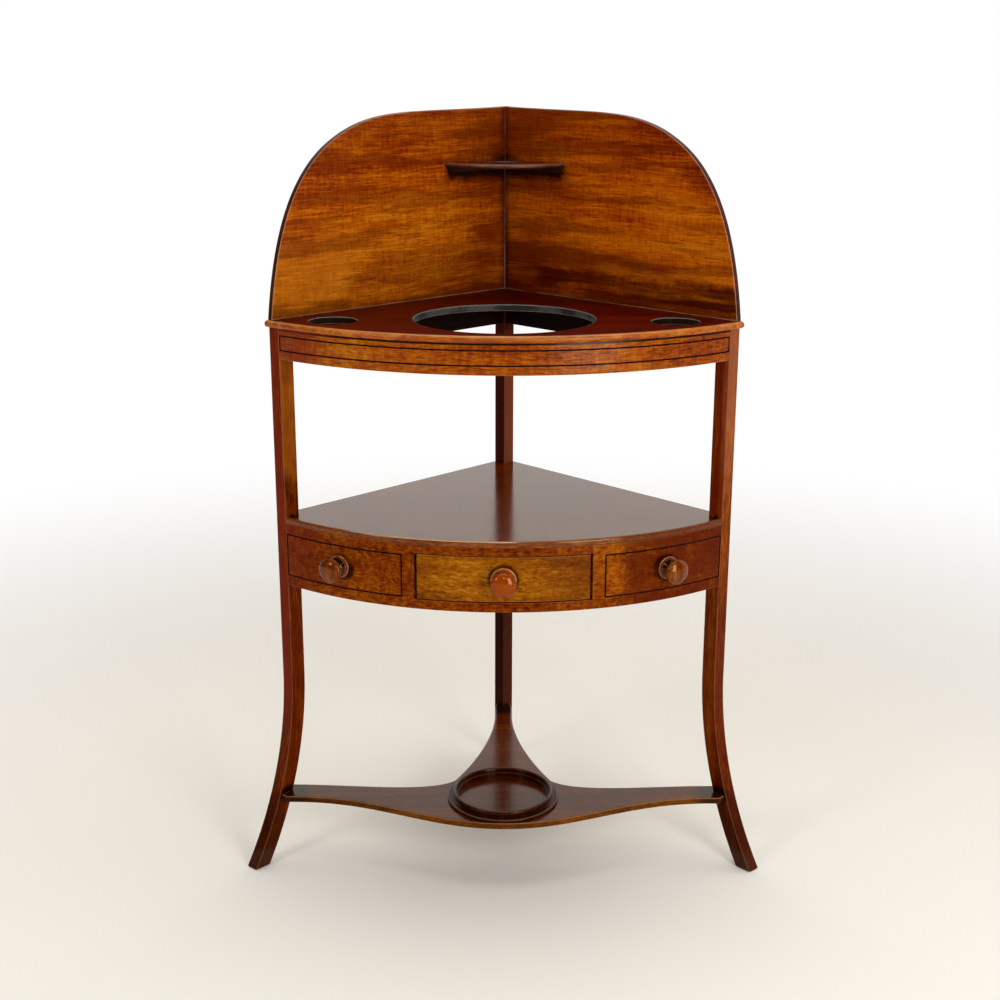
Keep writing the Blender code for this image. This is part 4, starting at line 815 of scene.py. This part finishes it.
holeRows = easedRows(top["thickness"], top["underEase"], top["ease"], top["holeSupport"])
holes = [(roundHole(0, basinCentre[1], plan["basinRadius"], 128), holeRows)]
holes += [(roundHole(x, y, plan["cupRadius"], 64), holeRows) for x, y in cupXY]
piece = plank("nosed_top_board", bowBoard, noseRows(top["thickness"], *top["wear"]),
              flatPlace(plan["topBase"]), shifted(1.7, 1.7), holes, edgeFinish=(1, 121))
dress(piece, "topBoard nosing", "top_board")
bowedBoard("bowed_top_frieze", bowStrip(top["friezeThickness"], wallEnd(-1), wallEnd(1), 120),
           plan["topFriezeBase"], plan["topBase"] - gap, (0.0008, 0.0004), 0.4, "frieze", "top_frieze")

# Stringing: a flat black line let into the bow as a rectangle
string = dict(
    width=0.0022, depth=0.001, proud=0.0001, endMargin=0.001, topDrop=0.0095, topRise=0.012,
    dummyDrop=0.015, dummyRise=0.0155, dummySide=0.0172, steps=60)


def stringFrame(name, start, end, base, top, node):
    # four loops of the same rectangle of angle and height: outer front, inner front, inner back,
    # outer back
    face, bottom = bowRadius + string["proud"], bowRadius - string["depth"]
    loops = []
    for narrow, radius in ((0, face), (1, face), (1, bottom), (0, bottom)):
        inset = narrow * string["width"]
        angle = np.linspace(start + inset / bowRadius, end - inset / bowRadius, string["steps"] + 1)
        xy = bowXY(radius, np.concatenate([angle, angle[::-1]]))
        loops.append(raised(xy, np.repeat([base + inset, top - inset], string["steps"] + 1)))
    rings = np.stack(loops)
    dress(loft(name, rings, rings, 0.0, closed=True), "ebony", node)


stringEnd = angleAtWall(bowRadius, plan["legWidth"]) - string["endMargin"] / bowRadius
stringStart = math.asin((plan["openingHalf"] + string["dummySide"]) / bowRadius)
stringFrame("top_stringing", -stringEnd, stringEnd, plan["topFriezeBase"] + string["topRise"],
            plan["topBase"] - string["topDrop"], "top_frieze_stringing")
for label, side in sides.items():
    low, high = sorted((side * stringStart, side * stringEnd))
    stringFrame("block_stringing_" + label, low, high, plan["friezeBase"] + string["dummyRise"],
                plan["shelfBase"] - string["dummyDrop"], "frieze_stringing_" + label)
print("top stage")

# Splash panels: one long curve from the corner, one over the shoulder down to the front
splash = dict(
    length=0.4735, height=1.120, ease=0.0011, shoulderAlong=0.7626, shoulderDrop=0.161, slope=0.634,
    topHandle=0.573, topFall=0.171, inner=0.228, outer=0.670, endHandle=0.406, endLean=0.097,
    cornerFall=0.002)


def splashEdge(base):
    drop = splash["shoulderDrop"] * (splash["height"] - base)
    along = splash["shoulderAlong"] * splash["length"]
    rest = splash["length"] - along
    shoulder = splash["height"] - drop
    inner, outer = splash["inner"] * along, splash["outer"] * rest
    crest = (splash["topHandle"] * along, splash["height"] - splash["topFall"] * drop)
    foot = (splash["length"] - splash["endLean"] * rest, base + splash["endHandle"] * (shoulder - base))
    top, middle, end = (0, splash["height"]), (along, shoulder), (splash["length"], base)
    first = bezier(48, top, crest, (along - inner, shoulder + inner * splash["slope"]), middle)
    second = bezier(48, middle, (along + outer, shoulder - outer * splash["slope"]), foot, end)
    return np.concatenate([first, second[1:]])


panelBase = plan["topHeight"] + gap
panelFace = plan["panelThickness"] + gap
for label, side in sides.items():
    start = 0.0 if side < 0 else panelFace
    edge = splashEdge(panelBase)
    edge = edge[edge[:, 0] > start + 0.001]
    corner = [(start, panelBase), (start, splash["height"] - splash["cornerFall"] * start)]
    rows = easedRows(plan["panelThickness"], splash["ease"], splash["ease"])
    outline = np.concatenate([corner, edge])[::-1]
    piece = plank("splash_panel_" + label, outline, rows, wallPlace(side), shifted(0, panelShift[side]))
    dress(piece, "splash" + label.capitalize(), "splashback_" + label)

# Corner shelf: bullnosed bow between two square returns, a shallow dish in its top
cornerShelf = dict(
    thickness=0.0066, side=0.140, back=0.0066, depth=0.160, dishRadius=0.024, dishSink=0.002,
    dishDepth=0.095, wear=(0.3, 1.0), support=0.003)
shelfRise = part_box("corner_shelf")[1][2]


def cornerShelfOutline(inset):
    base = [panelFace + inset / 8]
    along = cornerShelf["side"] - inset
    endX, endY = wallXY(1, along, panelFace + cornerShelf["back"])
    endDepth = cornerY - endY
    rise = cornerShelf["depth"] - inset - endDepth
    radius = (endX ** 2 + rise ** 2) / (2 * rise)
    centre = cornerShelf["depth"] - inset - radius
    sweep = math.atan2(endX, endDepth - centre)
    angle = np.linspace(-sweep, sweep, 49)
    bow = columns(radius * np.sin(angle), cornerY - centre - radius * np.cos(angle))
    return np.concatenate([wallXY(1, base, base), wallXY(-1, [along], base), bow, wallXY(1, [along], base)])


dish = roundHole(0, cornerY - cornerShelf["dishDepth"], cornerShelf["dishRadius"], 64)
face, sunk = cornerShelf["thickness"], cornerShelf["thickness"] - cornerShelf["dishSink"]
dishRows = np.array([
    (-0.004, sunk, 0), (-0.0012, sunk, 0), (-0.0002, face - 0.0014, 0), (0, face - 0.0004, 0.6),
    (0.0005, face, 1), (0.003, face, 0)])
rows = noseRows(face, *cornerShelf["wear"], cornerShelf["support"])
piece = plank("dished_corner_shelf", cornerShelfOutline, rows, flatPlace(shelfRise - face),
              shifted(4.1, 4.1), [(dish, dishRows)])
dress(piece, "dark", "corner_shelf")
print("splash")

# Shelf stage: the board is notched round the post and the legs, its upper front arris rounded
shelf = dict(thickness=0.009, round=0.0028, friezeThickness=0.018, railThickness=0.025, lowerRail=0.058)


def shelfOutline(inset):
    back = inset / 8
    post = plan["postSide"] + gap + back
    legBack = frontSide - plan["legDepth"] - gap - back
    legIn = plan["legWidth"] + gap + back
    end = angleAtWall(bowRadius - inset, legIn)
    right = wallXY(1, [legBack, legBack, post], [legIn, back, back])
    left = wallXY(-1, [post, legBack, legBack], [back, back, legIn])
    bow = bowXY(bowRadius - inset, np.linspace(-end, end, 121))
    return np.concatenate([wallXY(1, [post], [post]), left, bow, right])


turn = np.linspace(0, math.pi / 2, 6)
rounded = columns(
    shelf["round"] * (1 - np.cos(turn)), shelf["thickness"] - shelf["round"] * (1 - np.sin(turn)),
    0.3 + 0.7 * np.sin(turn))
shelfRows = np.concatenate([[(0.0004, 0, 0.3), (0, 0.0004, 0.4), (0, 0.003, 0.1)], rounded])
shelfRows = betweenFaces(shelfRows, (0.004, shelf["round"] + 0.003), shelf["thickness"])
piece = plank("polished_shelf", shelfOutline, shelfRows, flatPlace(plan["shelfBase"]), shifted(9.3, 9.3),
              edgeFinish=(4, 124))
dress(piece, "shelf shelfEdge", "shelf_board")

half = plan["openingHalf"]
for label, ends in (("left", (wallEnd(-1), plumbEnd(-half))), ("right", (plumbEnd(half), wallEnd(1)))):
    block = bowStrip(shelf["friezeThickness"], *ends, 40)
    bowedBoard("dummy_front_" + label, block, plan["friezeBase"], plan["shelfBase"] - gap,
               (0.0008, 0.0004), 0.9, "dummy", "frieze_block_" + label)

upper = bowStrip(shelf["railThickness"], plumbEnd(-half), plumbEnd(half), 60)
bowedBoard("upper_drawer_rail", upper, plan["openingTop"], plan["shelfBase"] - gap,
           (0.0007, 0.0003, 0.0015), 0.9, "dummy", "drawer_rail_upper")
end = math.asin(half / bowRadius)
back = cornerY - (bowDepth - shelf["lowerRail"])
lower = np.concatenate([bowXY(bowRadius, np.linspace(-end, end, 61)), [(half, back), (-half, back)]])
bowedBoard("lower_drawer_rail", lower, plan["friezeBase"], plan["openingBase"],
           (0.0008, 0.0007, 0.0015), 0.9, "dummy", "drawer_rail_lower")

# Back rails between post and legs
rail = dict(inset=0.002, thickness=0.015, ease=0.0008)
first, last = plan["postSide"] + gap, frontSide - plan["legDepth"] - gap
rows = easedRows(rail["thickness"], rail["ease"], rail["ease"])
stages = {"top": (plan["topFriezeBase"], plan["topBase"]), "shelf": (plan["friezeBase"], plan["shelfBase"])}
for label, side in sides.items():
    for stage, (low, high) in stages.items():
        outline = np.array([(first, low), (last, low), (last, high - gap), (first, high - gap)])
        shift = side * 1.9 + high
        piece = plank(stage + "_wall_rail_" + label, outline, rows, wallPlace(side, rail["inset"]),
                      shifted(shift, shift))
        dress(piece, "inside", stage + "_back_rail_" + label)
print("shelf stage")

# Drawer front: veneered bow, its arrises rubbed pale
drawer = dict(half=0.1221, thickness=0.018, base=0.4574, top=0.5231, ease=0.0009)
face = bowStrip(drawer["thickness"], plumbEnd(-drawer["half"]), plumbEnd(drawer["half"]), 80)
bowedBoard("bowed_drawer_front", softCorners(face(0), drawer["ease"]), drawer["base"], drawer["top"],
           (drawer["ease"], drawer["ease"]), 11.7, "drawer", "drawer_front", "drawer")

# Turned knobs: beaded collar, small step, waisted neck, flattened ball with a thin rim
knob = dict(
    tip=0.0006, spigot=0.0054, sunk=0.006, collarHeight=0.0034, stepRadius=0.0142, stepHeight=0.0056,
    neckRadius=0.0082, headRadius=0.0183, headBack=0.0178, headMiddle=0.0238, height=0.0322, collar=0.0170,
    drawerCollar=0.0186)


def arc(middle, height, wide, tall, turn, wear):
    # rows round a part of an ellipse
    return columns(middle + wide * np.cos(turn), height + tall * np.sin(turn), wear)


def roundedEdge(radius, height, wear):
    # a half-round edge of this height, standing on zero
    half = height / 2
    turn = np.linspace(-math.pi / 2, math.pi / 2, 9)[1:]
    return arc(radius - half, half, half, half, turn, wear(turn))


def knobRows(collar):
    # (radius, height, wear) from the tip of the spigot to the middle of the head
    step, stepHeight, collarHeight = knob["stepRadius"], knob["stepHeight"], knob["collarHeight"]
    head, middle, back = knob["headRadius"], knob["headMiddle"], knob["headBack"]
    foot = [(knob["tip"], -knob["sunk"], 0), (knob["spigot"], -knob["sunk"], 0),
            (knob["spigot"] + 0.0001, 0, 0), (collar - collarHeight / 2, 0, 0.1)]
    bead = roundedEdge(collar, collarHeight, lambda turn: np.where(turn > 0, 0.8, 0.3))
    above = [(step + 0.0003, collarHeight, 0), (step, collarHeight + 0.0003, 0),
             (step, stepHeight - 0.0005, 0.5)]
    # the neck is waisted as a parabola between the step and the head
    rise = np.arange(13) / 12
    waist = knob["neckRadius"] + (step - 0.0004 - knob["neckRadius"]) * (2 * rise - 1) ** 2
    neck = columns(waist, stepHeight + (back - stepHeight) * rise, 0.4 * (rise == 0))
    turn = np.linspace(-math.pi / 2, 0, 9)[1:]
    rear = arc(step, middle, head - step, middle - back, turn, np.maximum(0, 0.7 + 1.2 * np.sin(turn)))
    turn = np.linspace(0, math.pi / 2, 17)[1:-1]
    height = knob["height"] - gap
    front = arc(0, middle, head, height - middle, turn, np.maximum(0, 0.7 - 4 * turn))
    return np.concatenate([foot, bead, above, neck, rear, front, [(0.0004, height, 0)]])


knobAngle = (stringStart + stringEnd) / 2
for label, angle, collar, finish, node, body in (
        ("middle", 0.0, knob["drawerCollar"], "knob", "drawer_knob", "drawer"),
        ("left", -knobAngle, knob["collar"], "knobDark", "dummy_knob_left", "frame"),
        ("right", knobAngle, knob["collar"], "knobDark", "dummy_knob_right", "frame")):
    piece = turnedPiece("turned_knob_" + label, knobRows(collar), 72, 2.2 * angle)
    x, y = bowXY(bowRadius + gap, angle)
    sine, cosine = math.sin(angle), math.cos(angle)
    middle = (drawer["base"] + drawer["top"]) / 2
    # local Z turns to point out of the bow
    turned = Matrix(((cosine, 0, sine, x), (sine, 0, -cosine, y), (0, 1, 0, middle), (0, 0, 0, 1)))
    piece.data.transform(turned)
    dress(piece, finish, node, body)
print("drawer and knobs")

# Stretcher shelf: a waisted neck from the post, flaring into two arms
stretcher = dict(
    top=0.110, thickness=0.0095, frontDepth=0.4575, endWidth=0.0415, setBack=0.0046, frontHandle=0.119,
    armHandle=0.138, armDip=0.006, neckHalf=0.0145, neckDepth=0.075, neckHandle=0.0776, flareHandle=0.0791,
    flareAngle=math.radians(25.6), waistHalf=0.0745, waistDepth=0.318, waistHandle=0.0594,
    waistAngle=math.radians(47.6), armRearHandle=0.0946, armRearDip=0.003, ease=0.0013, underEase=0.0009,
    support=0.0022)


def stretcherOutline():
    # right half as (sideways, depth) from the post round to the middle of the front, then mirrored
    s = stretcher
    arris = plan["postSide"] * rootTwo
    rearEnd = frontSide / rootTwo
    legFront, legBack = legFaces(s["top"])
    endAlong = legFront - s["setBack"]
    frontDepth = rearEnd + s["endWidth"]
    frontEnd = endAlong * rootTwo - frontDepth
    neck, waist = (s["neckHalf"], s["neckDepth"]), columns(s["waistHalf"], s["waistDepth"])
    flareDip = s["flareHandle"] * columns(math.sin(s["flareAngle"]), math.cos(s["flareAngle"]))
    waistRise = s["waistHandle"] * columns(math.cos(s["waistAngle"]), math.sin(s["waistAngle"]))
    flare = bezier(40, neck, (s["neckHalf"], s["neckDepth"] + s["neckHandle"]), waist - flareDip, waist)
    rear = bezier(40, waist, waist + waistRise, (rearEnd - s["armRearHandle"], rearEnd - s["armRearDip"]),
                  (rearEnd, rearEnd))
    front = bezier(60, (frontEnd, frontDepth), (frontEnd - s["armHandle"], frontDepth - s["armDip"]),
                   (s["frontHandle"], s["frontDepth"]), (0, s["frontDepth"]))

    def fromWall(along, inward):
        return ((along - inward) / rootTwo, (along + inward) / rootTwo)

    # the arm stops against the back and inner faces of the leg
    legBack -= gap
    inner = plan["legWidth"] + gap
    notch = [fromWall(legBack, 0.003), fromWall(legBack, inner), fromWall(endAlong, inner)]
    rear = rear[rear[:, 0] + rear[:, 1] < legBack * rootTwo - 0.002]
    rear = rear[(rear[:, 1] - rear[:, 0]) / rootTwo > 0.003]
    start = [(0.0102, arris - 0.010), (s["neckHalf"], arris + 0.010)]
    half = np.concatenate([start, flare, rear[1:], notch, front])
    whole = np.concatenate([half, (half[:-1] * [-1, 1])[::-1]])[::-1]
    return columns(whole[:, 0], cornerY - whole[:, 1])


outline = stretcherOutline()
rows = easedRows(stretcher["thickness"], stretcher["underEase"], stretcher["ease"], stretcher["support"])
piece = plank("waisted_stretcher", outline, rows, flatPlace(stretcher["top"] - stretcher["thickness"]),
              shifted(13.4, 13.4), edgeFinish=(0, len(outline)))
dress(piece, "stretcher stretcherEdge", "stretcher_shelf")

# Ewer ring: a rounded base, a taller rounded wall inside it, a small step in the bore
ring = dict(
    base=0.0840, baseHeight=0.0042, shoulder=0.0772, crown=0.0755, crownTall=0.0046, inner=0.0695,
    bore=0.0683, lipHeight=0.0062, height=0.0138, margin=0.0005)


def ringRows():
    # an ellipse for the crown over a quirk and a flat base with a rounded edge
    crown, inner, tall = ring["crown"], ring["inner"], ring["crownTall"]
    outer, base, lip, bore = ring["base"], ring["baseHeight"], ring["lipHeight"], ring["bore"]
    under = [(bore, 0, 0), (outer - base / 2, 0, 0)]
    edge = roundedEdge(outer, base, lambda turn: 0.2 + 0.75 * (turn > 0.5))
    quirk = [(outer - base, base, 0), (ring["shoulder"] + 0.0004, base + 0.0002, 0.2),
             (ring["shoulder"], base + 0.0006, 0), (crown - 0.0004, base + 0.0008, 0)]
    turn = np.linspace(-0.9, math.pi, 19)
    top = arc((crown + inner) / 2, ring["height"] - tall, (crown - inner) / 2, tall, turn,
              0.25 + 0.75 * np.maximum(0, np.sin(turn)) ** 3)
    inside = [(inner, lip + 0.0003, 0), (inner - 0.0003, lip, 0.8), (bore + 0.0003, lip, 1),
              (bore, lip - 0.0003, 0.6), (bore, 0.002, 0)]
    return np.concatenate([under, edge, quirk, top, inside])


piece = turnedPiece("turned_ewer_ring", ringRows(), 128, 15.0, closed=True)
ringY = cornerY - (stretcher["frontDepth"] - ring["margin"] - ring["base"])
piece.data.transform(Matrix.Translation((0, ringY, stretcher["top"] + gap)))
dress(piece, "ring", "ewer_ring")
print("stretcher and ring")

# CAD nodes that stay: the drawer's box, its bearers, glue blocks, cleats and fasteners
stays = {
    "drawer_side": "liningAcross", "drawer_bottom": "lining", "drawer_back": "lining",
    "drawer_runner": "liningAcross", "drawer_guide": "liningAcross", "drawer_kicker": "liningAcross",
    "drawer_stop": "lining", "drawer_nail": "iron", "splash_screw": "iron",
    "corner_shelf_cleat": "darkBlock", "top_block": "darkBlock", "shelf_block": "darkBlock",
}
for name, node in nodes.items():
    for stem, key in stays.items():
        if name.startswith(stem):
            node.data.materials.clear()
            node.data.materials.append(materials[key])

# Studio: a pale floor that fades into a white surround
studio = dict(
    floorTone="#E8E4DC", floorRadii=(0.5, 1.0, 1.5, 2.2, 3.2, 4.5, 7.0), fadeStart=0.55, fadeEnd=2.5,
    surround=1.0, shade=0.11, surroundTone="#FFF9F0", backdrop=(0.35, 0.94, 0.1))


def seenRays(tree):
    # camera rays, and rays that a mirror or glass sends on
    path = addNode(tree, "ShaderNodeLightPath").outputs
    onward = maths(tree, "MAXIMUM", path["Is Glossy Ray"], path["Is Transmission Ray"])
    return path["Is Camera Ray"], onward


def makeFloor():
    # a disc in rings, with a plain pale plaster finish
    radii = np.array(studio["floorRadii"])[:, None]
    points = raised(roundHole(0, 0, radii, 64), 0)
    faces = [list(range(64))] + [face[::-1] for face in gridFaces(len(radii), 64)]
    mesh = bpy.data.meshes.new("studio_floor")
    mesh.from_pydata(points.reshape(-1, 3).tolist(), [], faces)
    material, tree = newTree("pale_plaster_floor")
    shader = addNode(tree, "ShaderNodeBsdfPrincipled", {
        "Base Color": linearColour(studio["floorTone"]), "Roughness": 0.75, "Specular IOR Level": 0.2})
    apart = addNode(tree, "ShaderNodeVectorMath", {"operation": "LENGTH", 0: ownPlace(tree)}).outputs[1]
    fade = ranged(tree, apart, studio["fadeStart"], studio["fadeEnd"])
    seen = maths(tree, "MULTIPLY", fade, maths(tree, "MAXIMUM", *seenRays(tree)))
    white = addNode(tree, "ShaderNodeEmission", {"Strength": 1.0}).outputs[0]
    both = addNode(tree, "ShaderNodeMixShader", {0: seen, 1: shader.outputs[0], 2: white})
    addNode(tree, "ShaderNodeOutputMaterial", {"Surface": both.outputs[0]})
    mesh.materials.append(material)
    addToScene("studio_floor", mesh)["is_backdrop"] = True


def makeSurround():
    # white to the eye, and white in reflections on the side of the backdrop; the room opposite is
    # dim, so most of its light comes from behind and from the right
    world = bpy.data.worlds.new("studio_surround")
    bpy.context.scene.world = world
    world.use_nodes = True
    tree = world.node_tree
    tree.nodes.clear()
    direction = addNode(tree, "ShaderNodeTexCoord").outputs["Generated"]
    facing = addNode(tree, "ShaderNodeVectorMath", {
        "operation": "DOT_PRODUCT", 0: direction, 1: studio["backdrop"]}).outputs[1]
    camera, onward = seenRays(tree)
    shown = maths(tree, "MULTIPLY_ADD", onward, ranged(tree, facing, 0.1, 0.6), camera)
    lit = addNode(tree, "ShaderNodeBackground", {
        "Color": linearColour(studio["surroundTone"]),
        "Strength": ranged(tree, facing, -0.15, 0.5, studio["surround"], studio["shade"])})
    white = addNode(tree, "ShaderNodeBackground", {"Color": (1, 1, 1, 1), "Strength": 1.0})
    both = addNode(tree, "ShaderNodeMixShader", {0: shown, 1: lit.outputs[0], 2: white.outputs[0]})
    addNode(tree, "ShaderNodeOutputWorld", {"Surface": both.outputs[0]})


def lookAlong(place, forward, roll=0.0):
    # at a place, with -Z along forward and Y as upright as can be, then rolled
    right = unit(np.cross(forward, (0, 0, 1)))
    up = np.cross(right, forward)
    sine, cosine = math.sin(roll), math.cos(roll)
    turned = np.stack([right * cosine + up * sine, up * cosine - right * sine, -forward], -1)
    return Matrix.Translation(place) @ Matrix(turned.tolist()).to_4x4()


# Lamps: place, target, size, power
lamps = {
    "window_right": ((1.5, -2.55, 1.15), (0, 0, 0.7), (1.1, 1.9), 60.0),
    "window_left": ((-2.2, -2.1, 1.9), (0, 0, 0.6), (0.7, 1.0), 20.0),
    "ceiling": ((0, 0.2, 3.2), (0, 0, 0), (2.4, 2.4), 42.0),
    "room_front": ((0.2, -3.6, 2.4), (0, 0, 0.6), (0.7, 0.5), 12.0),
}
makeFloor()
makeSurround()
for name, (place, target, size, power) in lamps.items():
    data = bpy.data.lights.new(name, "AREA")
    data.shape = "RECTANGLE"
    data.size, data.size_y = size
    data.energy = power
    lamp = addToScene(name, data)
    lamp.matrix_world = lookAlong(place, unit(np.subtract(target, place)))
    lamp.visible_camera = False

# Camera: the photograph's eye point and lens
view = dict(place=(0.0026, -2.1812, 1.1723), yaw=-0.0039, pitch=-0.2802, roll=0.0021, lens=53.6, sensor=36.0)
camera = addToScene("camera", bpy.data.cameras.new("camera"))
camera.data.lens = view["lens"]
camera.data.sensor_width = view["sensor"]
yaw, pitch = view["yaw"], view["pitch"]
forward = np.array([math.sin(yaw) * math.cos(pitch), math.cos(yaw) * math.cos(pitch), math.sin(pitch)])
camera.matrix_world = lookAlong(view["place"], forward, view["roll"])
bpy.context.scene.camera = camera
bpy.context.scene.view_settings.view_transform = "Standard"

low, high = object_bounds()
print("size", [round(b - a, 4) for a, b in zip(low, high)])
